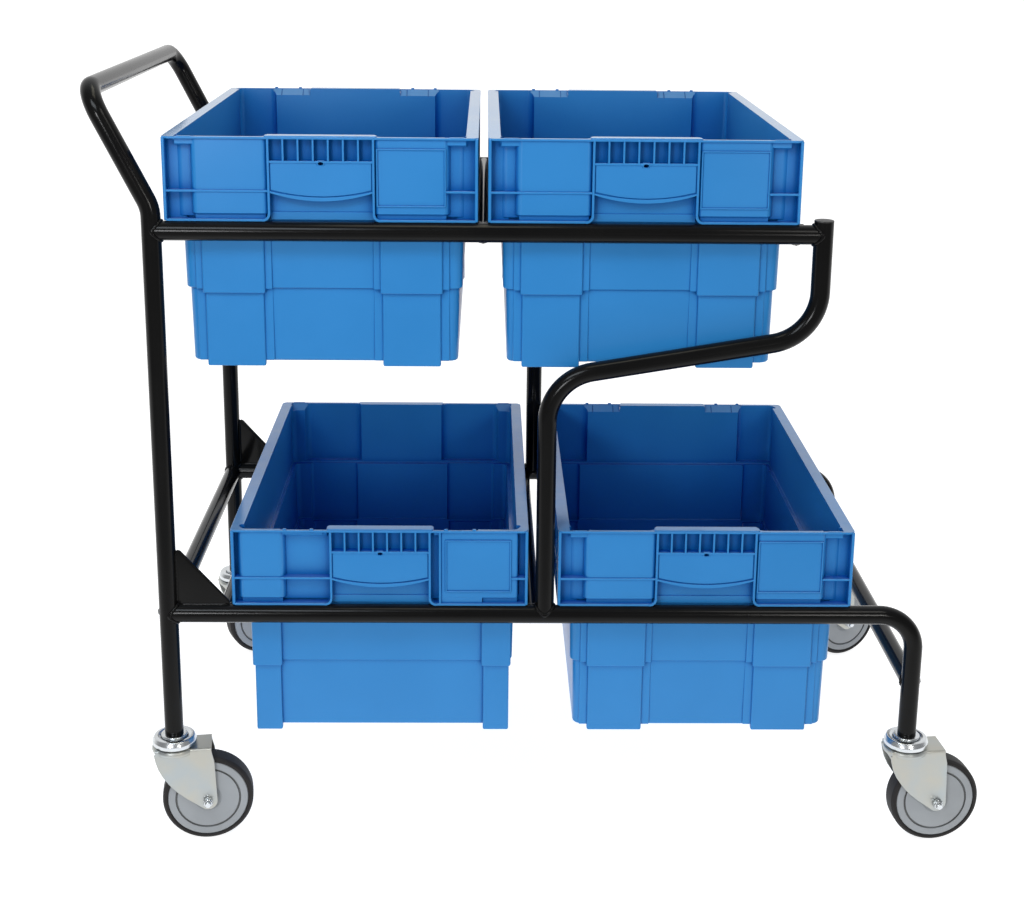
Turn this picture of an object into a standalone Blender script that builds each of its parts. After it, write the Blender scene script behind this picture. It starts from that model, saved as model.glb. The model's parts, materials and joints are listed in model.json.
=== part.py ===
"""Container trolley: a welded tube frame on four swivel castors that carries four stacking bins.

Lengths are in metres. X runs along the trolley with the handle at its low end, Y runs across it
and Z is up. The pieces are placed from the axis of the handle posts, and the last step moves
everything so that the origin is on the floor under the middle of the whole trolley.
"""

import math

import bmesh
import bpy
from mathutils import Matrix, Vector

# Clearances and cutters
fit_gap = 0.0003
overrun = 0.010
merge_distance = 0.00001
smooth_angle = math.radians(35)
flat_angle = math.radians(0.5)

# Steel tube of the frame
tube_diameter = 0.0254
tube_wall = 0.0015
tube_radius = tube_diameter / 2
tube_bevel_resolution = 4
cope_sides = 24

# Heights of the frame's tube axes above the floor, and its bends
lower_rail_height = 0.337
upper_rail_height = 0.863
tube_end_height = 0.159
bend_radius = 0.050
bend_step = math.radians(18)

# Handle, the upper part of the hoop that also makes both left posts
handle_bend_height = 0.892
handle_lean = math.radians(26.5)
handle_leg_length = 0.167
handle_corner_radius = 0.038

# Cranked brackets that carry the right end of the upper rails
bracket_first_bend_height = 0.669
bracket_second_bend_height = 0.7286
bracket_top_height = 0.880
bracket_bend_radius = 0.070
cap_thickness = 0.0018
cap_plug_depth = 0.012
plug_gap = 0.0004

# Cross tubes between the front and the back of the frame
leg_crossbar_height = 0.237
lower_left_crossbar_setback = 0.0085
lower_mid_crossbar_setback = 0.019
upper_right_crossbar_setback = 0.034

# Corner gussets
gusset_length = 0.070
gusset_height = 0.078
gusset_thickness = 0.0032
gusset_tip = 0.005

# Bins, each hung by its skirt on two rails, which are set apart to suit
bin_width = 0.400
bin_length = 0.600
bin_height = 0.305
bin_overhang = 0.004
rail_spacing = bin_length - 2 * bin_overhang
bin_wall = 0.003
bin_foot_drop = 0.006
bin_corner_radius = 0.012
bin_corner_steps = 2
rim_thickness = 0.003
rim_corner_radius = 0.006
skirt_height = 0.108
skirt_inset = 0.013
middle_inset = 0.019
lower_inset = 0.0245
end_wall_inset = 0.004
wall_draft = 0.0015
floor_draft = 0.0015
middle_height = 0.097
panel_step = 0.005
column_proud = 0.006
column_step_drop = 0.006
panel_inset = 0.003
rib_thickness = 0.0025
rib_setback = 0.0006
mid_rib_drop = 0.067
corner_plate_thickness = 0.004
grip_plate_thickness = 0.0025
grip_depth = 0.070

# Places across a bin's end, as shares of the bin's width from its left edge
end_a_panel_shares = (0.0975, 0.3325)
end_a_label_shares = (0.670, 0.900)
end_a_column_shares = ((0.1075, 0.3100), (0.6825, 0.8850))
end_b_panel_shares = (0.0325, 0.1725)
end_b_label_shares = (0.720, 0.9475)
end_b_column_shares = ((0.0560, 0.1575), (0.8425, 0.9440))
grip_shares = (0.335, 0.6675)
side_rib_shares = (0.25, 0.5, 0.75)

# Places along the rails, from the axis of the posts, set by the bins and the gaps between them
post_to_bin_gap = 0.0043
upper_bin_gap = 0.012
upper_bin_to_bracket_gap = 0.0183
lower_left_bin_x = 0.0865
lower_bin_to_upright_gap = 0.0098
upright_to_bin_gap = 0.0043
lower_bin_to_leg_gap = 0.0773
upper_left_bin_x = tube_radius + post_to_bin_gap
upper_right_bin_x = upper_left_bin_x + bin_width + upper_bin_gap
bracket_end_x = upper_right_bin_x + bin_width + upper_bin_to_bracket_gap + tube_radius
bracket_upright_x = lower_left_bin_x + bin_width + lower_bin_to_upright_gap + tube_radius
lower_right_bin_x = bracket_upright_x + tube_radius + upright_to_bin_gap
post_to_leg = lower_right_bin_x + bin_width + lower_bin_to_leg_gap + tube_radius
lower_left_crossbar_x = lower_left_bin_x - lower_left_crossbar_setback
lower_mid_crossbar_x = bracket_upright_x - lower_mid_crossbar_setback
upper_mid_crossbar_x = upper_right_bin_x - upper_bin_gap / 2
upper_right_crossbar_x = bracket_end_x - upper_right_crossbar_setback

# Swivel castors
wheel_radius = 0.0625
wheel_sides = 22
tyre_width = 0.031
tyre_shoulder = 0.004
tyre_tread_inset = 0.005
core_radius = 0.0550
core_width = 0.029
hub_radius = 0.0135
hub_length = 0.037
bush_radius = 0.0062
bush_bore_radius = 0.0044
running_gap = 0.0003
castor_trail = 0.043
crown_height = 0.1425
fork_plate = 0.003
fork_width = 0.045
fork_tip_radius = 0.013
fork_rear_top_x = 0.0505
fork_front_top_x = -0.023
fork_front_shares = ((0.08, 0.32), (0.24, 0.62), (0.50, 0.86))
fork_tip_start = math.radians(240)
fork_tip_steps = 4
head_radius = 0.0296
head_height = 0.014
head_floor = 0.0032
head_shoulder_width = 0.004
head_shoulder_drop = 0.006
head_shoulder_steps = 2
head_bore_radius = 0.0187
head_sides = 16
collar_radius = 0.0180
shaft_radius = 0.006
shaft_gap = 0.0006
rivet_radius = 0.011
rivet_height = 0.003
stem_length = 0.055
stem_tip = 0.003
ball_radius = 0.003
ball_circle_radius = 0.0125
ball_ring_sides = 12
ball_sides = 6
round_sides = 12
small_sides = 10
bolt_radius = 0.004
bolt_hole_gap = 0.0004
bolt_end = 0.006
hex_radius = 0.0075
hex_sides = 6
bolt_head_height = 0.0053
nut_height = 0.0065

# How far each castor is turned at rest, seen from above
front_left_turn = math.radians(8)
front_right_turn = math.radians(5)
back_left_turn = math.radians(27)
back_right_turn = math.radians(24)

# Colours: base colour, metallic, roughness
finishes = {
    "black_paint": ((0.012, 0.012, 0.013), 0.0, 0.22),
    "black_plastic": ((0.015, 0.015, 0.015), 0.0, 0.45),
    "blue_plastic": ((0.055, 0.255, 0.620), 0.0, 0.42),
    "zinc": ((0.63, 0.66, 0.66), 1.0, 0.34),
    "bright_zinc": ((0.72, 0.74, 0.75), 1.0, 0.22),
    "bearing_steel": ((0.55, 0.55, 0.56), 1.0, 0.20),
    "grey_plastic": ((0.34, 0.36, 0.40), 0.0, 0.50),
    "black_rubber": ((0.030, 0.027, 0.029), 0.0, 0.70),
}


def clear_scene():
    for item in list(bpy.data.objects):
        bpy.data.objects.remove(item, do_unlink=True)


def collection_named(name):
    found = bpy.data.collections.new(name)
    bpy.context.scene.collection.children.link(found)
    return found


def material_named(name):
    """The Principled material of that name, made on first use."""
    if name in bpy.data.materials:
        return bpy.data.materials[name]
    colour, metallic, roughness = finishes[name]
    material = bpy.data.materials.new(name)
    material.use_nodes = True
    shader = material.node_tree.nodes["Principled BSDF"]
    shader.inputs["Base Color"].default_value = (*colour, 1)
    shader.inputs["Metallic"].default_value = metallic
    shader.inputs["Roughness"].default_value = roughness
    material.diffuse_color = (*colour, 1)
    return material


def add_object(name, mesh, finish, collection=None):
    item = bpy.data.objects.new(name, mesh)
    (collection or parts).objects.link(item)
    if finish:
        mesh.materials.clear()
        mesh.materials.append(material_named(finish))
    return item


def mesh_from(bm, name):
    mesh = bpy.data.meshes.new(name)
    bmesh.ops.recalc_face_normals(bm, faces=bm.faces)
    bm.to_mesh(mesh)
    bm.free()
    return mesh


def smooth(item):
    item.data.shade_smooth()
    item.data.set_sharp_from_angle(angle=smooth_angle)
    return item


def as_cutter(item):
    item.hide_render = True
    item.display_type = "WIRE"
    return item


def boolean(item, other, operation="DIFFERENCE"):
    change = item.modifiers.new(operation.lower(), "BOOLEAN")
    change.operation = operation
    change.object = other


def boolean_all(item, others, operation):
    change = item.modifiers.new(operation.lower(), "BOOLEAN")
    change.operation = operation
    change.operand_type = "COLLECTION"
    change.collection = others


def settled_mesh(item, name):
    """The mesh of an object with its modifiers taken up."""
    bpy.context.view_layer.update()
    graph = bpy.context.evaluated_depsgraph_get()
    mesh = bpy.data.meshes.new_from_object(item.evaluated_get(graph))
    mesh.name = name
    return mesh


def frustum_mesh(name, bottom, top, low, high, corner_radius=0):
    """A box from low to high whose bottom and top are each (x0, x1, y0, y1)."""
    bm = bmesh.new()
    bmesh.ops.create_cube(bm, size=1)
    middle = (low + high) / 2
    for vert in bm.verts:
        x0, x1, y0, y1 = top if vert.co.z > 0 else bottom
        x = x1 if vert.co.x > 0 else x0
        y = y1 if vert.co.y > 0 else y0
        vert.co = (x, y, high if vert.co.z > 0 else low)
    if corner_radius:
        upright = [
            edge
            for edge in bm.edges
            if (edge.verts[0].co.z > middle) != (edge.verts[1].co.z > middle)
        ]
        bmesh.ops.bevel(
            bm,
            geom=upright,
            offset=corner_radius,
            offset_type="OFFSET",
            segments=bin_corner_steps,
            profile=0.5,
            affect="EDGES",
        )
    return mesh_from(bm, name)


def box_mesh(name, x_range, y_range, z_range, corner_radius=0):
    plan = (*x_range, *y_range)
    return frustum_mesh(name, plan, plan, *z_range, corner_radius)


def rod_mesh(name, radius, low, high, sides):
    """A solid cylinder along Z with flat ends at low and high."""
    bm = bmesh.new()
    bmesh.ops.create_cone(
        bm, cap_ends=True, segments=sides, radius1=radius, radius2=radius, depth=high - low
    )
    bmesh.ops.translate(bm, verts=bm.verts, vec=(0, 0, (high + low) / 2))
    return mesh_from(bm, name)


def rounded_path(corners, radii):
    """The corners of a bent tube's axis, with a round bend of its own radius at each inner one."""
    points = [corners[0]]
    for before, corner, after, radius in zip(corners, corners[1:], corners[2:], radii):
        inward = (before - corner).normalized()
        onward = (after - corner).normalized()
        half_angle = inward.angle(onward) / 2
        setback = radius / math.tan(half_angle)
        centre = corner + (inward + onward).normalized() * radius / math.sin(half_angle)
        start = corner + inward * setback - centre
        turn = math.pi - 2 * half_angle
        normal = inward.cross(start).normalized()
        steps = max(2, math.ceil(turn / bend_step))
        for step in range(steps + 1):
            points.append(centre + Matrix.Rotation(turn * step / steps, 3, normal) @ start)
    points.append(corners[-1])
    return points


def tube(name, corners, *radii):
    """A hollow tube along straight runs and round bends, open at both ends."""
    curve = bpy.data.curves.new(name, "CURVE")
    curve.dimensions = "3D"
    curve.bevel_depth = tube_radius
    curve.bevel_resolution = tube_bevel_resolution
    points = rounded_path([Vector(corner) for corner in corners], radii)
    spline = curve.splines.new("POLY")
    spline.points.add(len(points) - 1)
    for point, place in zip(spline.points, points):
        point.co = (*place, 1)
    guide = bpy.data.objects.new(name, curve)
    parts.objects.link(guide)
    mesh = settled_mesh(guide, name)
    bpy.data.objects.remove(guide, do_unlink=True)
    item = smooth(add_object(name, mesh, "black_paint"))
    wall = item.modifiers.new("wall", "SOLIDIFY")
    wall.thickness = tube_wall
    wall.offset = -1
    wall.use_even_offset = True
    return item


def cope_cutter(axis, place):
    """A rod a little wider than the frame's tube, along an axis, that copes what meets it."""
    radius = (tube_radius + fit_gap) / math.cos(math.pi / cope_sides)
    reach = tube_diameter * 2
    item = add_object("cope", rod_mesh("cope", radius, -reach, reach, cope_sides), None, cutters)
    item.location = place
    if axis == "X":
        item.rotation_euler.y = math.pi / 2
    return as_cutter(item)


def make_hoop():
    lean = Vector((-math.sin(handle_lean), 0, math.cos(handle_lean))) * handle_leg_length
    front = Vector((0, -rail_spacing / 2, 0))
    back = Vector((0, rail_spacing / 2, 0))
    foot = Vector((0, 0, tube_end_height))
    bend = Vector((0, 0, handle_bend_height))
    tube(
        "handle_hoop",
        (
            front + foot,
            front + bend,
            front + bend + lean,
            back + bend + lean,
            back + bend,
            back + foot,
        ),
        bend_radius,
        handle_corner_radius,
        handle_corner_radius,
        bend_radius,
    )


def make_rails(side, y):
    """The rails and the cranked bracket of one side, front or back."""
    start = (0, y, upper_rail_height)
    end = (bracket_end_x, y, upper_rail_height)
    upper = tube(f"upper_rail_{side}", (start, end))
    boolean(upper, cope_cutter("Z", start))
    boolean(upper, cope_cutter("Z", end))
    lower = tube(
        f"lower_rail_{side}",
        (
            (0, y, lower_rail_height),
            (post_to_leg, y, lower_rail_height),
            (post_to_leg, y, tube_end_height),
        ),
        bend_radius,
    )
    boolean(lower, cope_cutter("Z", (0, y, lower_rail_height)))
    bracket = tube(
        f"bracket_{side}",
        (
            (bracket_upright_x, y, lower_rail_height),
            (bracket_upright_x, y, bracket_first_bend_height),
            (bracket_end_x, y, bracket_second_bend_height),
            (bracket_end_x, y, bracket_top_height),
        ),
        bracket_bend_radius,
        bracket_bend_radius,
    )
    boolean(bracket, cope_cutter("X", (bracket_upright_x, y, lower_rail_height)))
    plug_radius = plug_radius_in_tube()
    top = bracket_top_height
    profile = (
        (0, top + fit_gap + cap_thickness),
        (tube_radius, top + fit_gap + cap_thickness),
        (tube_radius, top + fit_gap),
        (plug_radius, top + fit_gap),
        (plug_radius, top - cap_plug_depth),
        (0, top - cap_plug_depth),
    )
    turned(f"bracket_cap_{side}", profile, round_sides, "black_plastic", (bracket_end_x, y, 0))


def crossbar(name, x, height, axis):
    """A cross tube from the front to the back, coped to tubes that run along the given axis."""
    reach = rail_spacing / 2
    item = tube(name, ((x, -reach, height), (x, reach, height)))
    for y in (-reach, reach):
        boolean(item, cope_cutter(axis, (x, y, height)))
    return item


def make_crossbars():
    post_bar = crossbar("post_crossbar", 0, lower_rail_height, "Z")
    for y in (-rail_spacing / 2, rail_spacing / 2):
        boolean(post_bar, cope_cutter("X", (tube_radius, y, lower_rail_height)))
    crossbar("leg_crossbar", post_to_leg, leg_crossbar_height, "Z")
    crossbar("lower_left_crossbar", lower_left_crossbar_x, lower_rail_height, "X")
    crossbar("lower_mid_crossbar", lower_mid_crossbar_x, lower_rail_height, "X")
    crossbar("upper_mid_crossbar", upper_mid_crossbar_x, upper_rail_height, "X")
    crossbar("upper_right_crossbar", upper_right_crossbar_x, upper_rail_height, "X")


def flat_plate(name, outline, thickness, finish):
    """A flat outline in X and Z, given as points, made thickness deep about Y = 0."""
    curve = bpy.data.curves.new(name, "CURVE")
    curve.dimensions = "2D"
    curve.fill_mode = "BOTH"
    curve.extrude = thickness / 2
    spline = curve.splines.new("POLY")
    spline.points.add(len(outline) - 1)
    for point, (x, z) in zip(spline.points, outline):
        point.co = (x, z, 0, 1)
    spline.use_cyclic_u = True
    guide = bpy.data.objects.new(name, curve)
    parts.objects.link(guide)
    mesh = settled_mesh(guide, name)
    bpy.data.objects.remove(guide, do_unlink=True)
    bm = bmesh.new()
    bm.from_mesh(mesh)
    bmesh.ops.remove_doubles(bm, verts=bm.verts, dist=merge_distance)
    bmesh.ops.rotate(bm, verts=bm.verts, cent=(0, 0, 0), matrix=Matrix.Rotation(math.pi / 2, 3, "X"))
    bmesh.ops.recalc_face_normals(bm, faces=bm.faces)
    bm.to_mesh(mesh)
    bm.free()
    return add_object(name, mesh, finish)


def make_gusset(side, y):
    x = tube_radius + fit_gap
    z = lower_rail_height + tube_radius + fit_gap
    outline = (
        (x, z),
        (x + gusset_length, z),
        (x + gusset_length, z + gusset_tip),
        (x + gusset_tip, z + gusset_height),
        (x, z + gusset_height),
    )
    item = flat_plate(f"gusset_{side}", outline, gusset_thickness, "black_paint")
    item.location.y = y


def turned(name, profile, sides, finish, place=(0, 0, 0), parent=None):
    """A turned piece: its profile as (radius, height) pairs, down the outer side, spun about Z."""
    mesh = bpy.data.meshes.new(name)
    bm = bmesh.new()
    verts = [bm.verts.new((radius, 0, height)) for radius, height in profile]
    for first, second in zip(verts, verts[1:]):
        bm.edges.new((first, second))
    if profile[0][0] > 0:
        bm.edges.new((verts[-1], verts[0]))
    bm.to_mesh(mesh)
    bm.free()
    guide = add_object(name, mesh, None)
    spin = guide.modifiers.new("spin", "SCREW")
    spin.axis = "Z"
    spin.steps = sides
    spin.render_steps = sides
    spin.use_merge_vertices = True
    spin.merge_threshold = merge_distance
    spun = settled_mesh(guide, name)
    bpy.data.objects.remove(guide, do_unlink=True)
    item = smooth(add_object(name, spun, finish))
    item.location = place
    item.parent = parent
    return item


def across(shares):
    """Places across the bin, from its middle, for shares of its width from the left edge."""
    return tuple((share - 0.5) * bin_width for share in shares)


def seen_from(end, shares):
    """The X range of two shares of the width, for someone who faces that end; end is -1 or 1."""
    return tuple(sorted(-end * x for x in across(shares)))


def end_range(end, near_inset, far_inset):
    """The Y range between two insets from an end's outer plane; end is -1 or 1."""
    reach = bin_length / 2
    return tuple(sorted((end * (reach - near_inset), end * (reach - far_inset))))


def side_range(side, near_inset, far_inset):
    """The X range between two insets from a long side's outer plane; side is -1 or 1."""
    reach = bin_width / 2
    return tuple(sorted((side * (reach - near_inset), side * (reach - far_inset))))


def plan(inset, end_inset=0):
    """The bin's plan, drawn in by that inset all round, and at the ends by the other one as well."""
    x = bin_width / 2 - inset
    y = bin_length / 2 - inset - end_inset
    return (-x, x, -y, y)


def add_block(group, name, x_range, y_range, z_range, corner_radius=0):
    return add_object(name, box_mesh(name, x_range, y_range, z_range, corner_radius), None, group)


def bin_levels():
    """The heights of a bin's skirt and of its upper and lower step, from its feet up."""
    skirt = bin_height - skirt_height
    first_step = skirt + panel_step
    second_step = first_step - middle_height
    return skirt, first_step, second_step


def skirt_range():
    """The Z range of the skirt, from inside its flange to inside the rim."""
    return (bin_levels()[0] + rim_thickness / 2, bin_height - rim_thickness / 2)


def add_stage(group, name, inset, end_inset, draft, z_range, corner_radius):
    low, high = z_range
    bottom = plan(inset + draft, end_inset)
    top = plan(inset, end_inset)
    add_object(name, frustum_mesh(name, bottom, top, low, high, corner_radius), None, group)


def add_body(solids, hollows):
    """The three stepped and tapered stages of the walls, outside and inside."""
    first_step, second_step = bin_levels()[1:]
    wall = bin_wall
    overlap = wall / 2
    stages = (
        (bin_foot_drop, second_step, second_step + overlap, lower_inset, end_wall_inset, floor_draft),
        (second_step, first_step, first_step + overlap, middle_inset, end_wall_inset, wall_draft),
        (first_step, bin_height + overrun, skirt_range()[1], skirt_inset, 0, 0),
    )
    for low, inner_high, outer_high, inset, end_inset, draft in stages:
        add_stage(solids, "stage", inset, end_inset, draft, (low, outer_high), bin_corner_radius)
        inner_range = (low + wall, inner_high + wall * 2)
        inner_radius = bin_corner_radius - wall
        add_stage(hollows, "stage_hollow", inset + wall, end_inset, draft, inner_range, inner_radius)


def add_columns(solids, hollows, end, share_pairs):
    """The hollow columns that stand proud of an end wall and end in the bin's feet."""
    first_step, second_step = bin_levels()[1:]
    low_step = second_step - column_step_drop
    wall = bin_wall
    stages = (
        (0, low_step, lower_inset + end_wall_inset + floor_draft),
        (low_step, first_step, middle_inset + end_wall_inset + wall_draft),
    )
    for shares in share_pairs:
        x0, x1 = seen_from(end, shares)
        for low, high, inset in stages:
            face = inset - column_proud
            y_range = end_range(end, face, inset + wall / 2)
            add_block(solids, "column", (x0, x1), y_range, (low, high + wall / 2))
            hollow_y_range = end_range(end, face + wall, inset + wall * 2)
            hollow_z_range = (low + wall, high + wall * 2)
            add_block(hollows, "column_hollow", (x0 + wall, x1 - wall), hollow_y_range, hollow_z_range)


def add_panel(solids, hollows, end, shares):
    """A panel of the skirt that stands nearly flush with the rim, hollow behind."""
    x0, x1 = seen_from(end, shares)
    wall = bin_wall
    y_range = end_range(end, panel_inset, skirt_inset + wall / 2)
    add_block(solids, "panel", (x0, x1), y_range, skirt_range())
    hollow_y_range = end_range(end, panel_inset + wall, skirt_inset + wall * 2)
    hollow_z_range = (bin_levels()[1] + wall, bin_height + overrun)
    add_block(hollows, "panel_hollow", (x0 + wall, x1 - wall), hollow_y_range, hollow_z_range)


def add_grip(solids, hollows, end):
    """The hand grip of an end: a plate hung from the rim between two ribs, open below."""
    skirt, first_step = bin_levels()[:2]
    x0, x1 = seen_from(end, grip_shares)
    half_rib = rib_thickness / 2
    plate_y_range = end_range(end, rib_setback, rib_setback + grip_plate_thickness)
    plate_z_range = (bin_height - grip_depth, bin_height - rim_thickness / 2)
    add_block(solids, "grip_plate", (x0, x1), plate_y_range, plate_z_range)
    for x in (x0, x1):
        rib_y_range = end_range(end, rib_setback, skirt_inset + bin_wall / 2)
        add_block(solids, "grip_rib", (x - half_rib, x + half_rib), rib_y_range, skirt_range())
    mouth_y_range = end_range(end, -overrun, skirt_inset)
    mouth_z_range = (skirt - overrun, first_step - rib_setback)
    add_block(hollows, "grip_mouth", (x0 + half_rib, x1 - half_rib), mouth_y_range, mouth_z_range)


def add_level_ribs(solids, end):
    """The level rib of an end: from its left corner to the grip, and behind its right corner."""
    height = bin_height - mid_rib_drop
    z_range = (height - rib_thickness / 2, height + rib_thickness / 2)
    y_range = end_range(end, rib_setback * 2, skirt_inset + bin_wall / 2)
    edge = corner_plate_thickness / 2 / bin_width
    inner = middle_inset / bin_width
    for shares in ((edge, grip_shares[0]), (1 - inner, 1 - edge)):
        add_block(solids, "level_rib", seen_from(end, shares), y_range, z_range)


def add_side_ribs(solids, side):
    """The upright ribs of a long side, and the plates that close its two ends."""
    x_range = side_range(side, rib_setback * 1.5, skirt_inset + bin_wall / 2)
    for share in side_rib_shares:
        y = (share - 0.5) * bin_length
        y_range = (y - rib_thickness / 2, y + rib_thickness / 2)
        add_block(solids, "side_rib", x_range, y_range, skirt_range())
    plate_x_range = side_range(side, rib_setback, rib_setback + corner_plate_thickness)
    for end in (-1, 1):
        y_range = end_range(end, rib_setback, skirt_inset + bin_wall)
        add_block(solids, "corner_plate", plate_x_range, y_range, skirt_range())


def bin_mesh():
    """One bin, standing on its feet at Z = 0, with end A towards -Y and end B towards +Y."""
    solids = bpy.data.collections.new("bin_solids")
    hollows = bpy.data.collections.new("bin_hollows")
    cutters.children.link(solids)
    cutters.children.link(hollows)
    skirt = bin_levels()[0]
    outline = (plan(0)[:2], plan(0)[2:])
    rim_range = (bin_height - rim_thickness, bin_height)
    flange_range = (skirt, skirt + rim_thickness)
    rim = add_block(cutters, "bin_rim", *outline, rim_range, rim_corner_radius)
    add_block(solids, "skirt_flange", *outline, flange_range, rim_corner_radius)
    add_body(solids, hollows)
    add_columns(solids, hollows, -1, end_a_column_shares)
    add_columns(solids, hollows, 1, end_b_column_shares)
    for shares in (end_a_panel_shares, end_a_label_shares):
        add_panel(solids, hollows, -1, shares)
    for shares in (end_b_panel_shares, end_b_label_shares):
        add_panel(solids, hollows, 1, shares)
    for direction in (-1, 1):
        add_grip(solids, hollows, direction)
        add_level_ribs(solids, direction)
        add_side_ribs(solids, direction)
    blocks = (rim, *solids.objects, *hollows.objects)
    for item in blocks:
        as_cutter(item)
    boolean_all(rim, solids, "UNION")
    boolean_all(rim, hollows, "DIFFERENCE")
    mesh = settled_mesh(rim, "bin")
    for item in blocks:
        bpy.data.objects.remove(item, do_unlink=True)
    bm = bmesh.new()
    bm.from_mesh(mesh)
    bmesh.ops.remove_doubles(bm, verts=bm.verts, dist=merge_distance)
    bmesh.ops.dissolve_limit(bm, angle_limit=flat_angle, verts=bm.verts, edges=bm.edges)
    bmesh.ops.triangulate(bm, faces=bm.faces)
    bm.to_mesh(mesh)
    bm.free()
    return mesh


def make_bins():
    shared = bin_mesh()
    rim_below = bin_height - skirt_height
    upper_z = upper_rail_height + tube_radius + fit_gap - rim_below
    lower_z = lower_rail_height + tube_radius + fit_gap - rim_below
    places = {
        "bin_upper_left": (upper_left_bin_x, upper_z, 0),
        "bin_upper_right": (upper_right_bin_x, upper_z, 0),
        "bin_lower_left": (lower_left_bin_x, lower_z, math.pi),
        "bin_lower_right": (lower_right_bin_x, lower_z, 0),
    }
    for name, (x, z, turn) in places.items():
        item = add_object(name, shared.copy(), "blue_plastic")
        item.location = (x + bin_width / 2, 0, z)
        item.rotation_euler.z = turn


def fork_outline():
    """The side view of a castor fork: crown, raked front edge, round tip and rear edge."""
    axle = Vector((castor_trail, wheel_radius))
    front = Vector((fork_front_top_x, crown_height))
    tip = []
    for step in range(fork_tip_steps + 1):
        angle = fork_tip_start + (math.tau - fork_tip_start) * step / fork_tip_steps
        tip.append(axle + fork_tip_radius * Vector((math.cos(angle), math.sin(angle))))
    sweep = tip[0] - front
    points = [front]
    for across_share, down_share in fork_front_shares:
        points.append(front + Vector((sweep.x * across_share, sweep.y * down_share)))
    return (*points, *tip, (fork_rear_top_x, crown_height))


def rod_cutter(name, radius, low, high, sides):
    return as_cutter(add_object(name, rod_mesh(name, radius, low, high, sides), None, cutters))


def on_axle(pivot, *items):
    """Turns pieces made along Z so that they lie on the wheel's axle, heads towards the back."""
    for item in items:
        item.parent = pivot
        item.location = (castor_trail, 0, wheel_radius)
        item.rotation_euler.x = math.pi / 2


def make_fork(name, pivot):
    """The pressed U of the castor: a crown with a round front and two legs to the axle."""
    fork = flat_plate(name, fork_outline(), fork_width, "zinc")
    crown_low = crown_height - fork_plate
    inner = fork_width / 2 - fork_plate
    mouth_x_range = (fork_front_top_x - overrun, castor_trail + fork_tip_radius + overrun)
    mouth = as_cutter(add_block(cutters, "mouth", mouth_x_range, (-inner, inner), (0, crown_low)))
    disc = rod_cutter("disc", head_radius, crown_low, crown_height, head_sides)
    bore_range = (crown_low - overrun, crown_height + overrun)
    bore = rod_cutter("bore", shaft_radius + shaft_gap, *bore_range, small_sides)
    bolt_bore_radius = bolt_radius + bolt_hole_gap
    axle_bore = rod_cutter("axle_bore", bolt_bore_radius, -fork_width, fork_width, small_sides)
    for item in (fork, mouth, disc, bore):
        item.parent = pivot
    on_axle(pivot, axle_bore)
    boolean(fork, disc, "UNION")
    for cutter in (mouth, bore, axle_bore):
        boolean(fork, cutter)


def plug_radius_in_tube():
    """The radius of a plug that fits the bore of the frame's faceted tube."""
    return (tube_radius - tube_wall) * math.cos(math.pi / round_sides) - plug_gap


def make_stem(name, place):
    """The fixed pin of a castor: a plug in the tube, a collar under it and a riveted shaft."""
    plug_radius = plug_radius_in_tube()
    collar_top = tube_end_height - fit_gap
    collar_low = crown_height + fit_gap + head_floor + 2 * (ball_radius + fit_gap)
    shaft_low = crown_height - fork_plate - fit_gap
    stem_top = tube_end_height + stem_length
    profile = (
        (0, stem_top),
        (plug_radius - stem_tip, stem_top),
        (plug_radius, stem_top - stem_tip),
        (plug_radius, collar_top),
        (collar_radius, collar_top),
        (collar_radius, collar_low),
        (shaft_radius, collar_low),
        (shaft_radius, shaft_low),
        (rivet_radius, shaft_low),
        (rivet_radius, shaft_low - rivet_height),
        (0, shaft_low - rivet_height),
    )
    turned(name, profile, round_sides, "bright_zinc", place)


def make_head(name, pivot):
    """The rounded bearing cup on the fork's crown."""
    low = crown_height + fit_gap
    high = crown_height + head_height
    shoulder = []
    for step in range(head_shoulder_steps + 1):
        angle = math.pi / 2 * step / head_shoulder_steps
        radius = head_radius - head_shoulder_width * (1 - math.sin(angle))
        shoulder.append((radius, high - head_shoulder_drop * (1 - math.cos(angle))))
    profile = (
        *shoulder,
        (head_radius, low),
        (shaft_radius + shaft_gap, low),
        (shaft_radius + shaft_gap, low + head_floor),
        (head_bore_radius, low + head_floor),
        (head_bore_radius, high),
    )
    turned(name, profile, head_sides, "bright_zinc", parent=pivot)


def make_ball_ring(name, pivot):
    """The row of bearing balls, as the ring that they run round."""
    bpy.ops.mesh.primitive_torus_add(
        major_segments=ball_ring_sides,
        minor_segments=ball_sides,
        major_radius=ball_circle_radius,
        minor_radius=ball_radius,
    )
    item = bpy.context.object
    item.name = name
    for owner in list(item.users_collection):
        owner.objects.unlink(item)
    parts.objects.link(item)
    item.data.materials.append(material_named("bearing_steel"))
    smooth(item)
    item.location = (0, 0, crown_height + fit_gap * 2 + head_floor + ball_radius)
    item.parent = pivot


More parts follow.
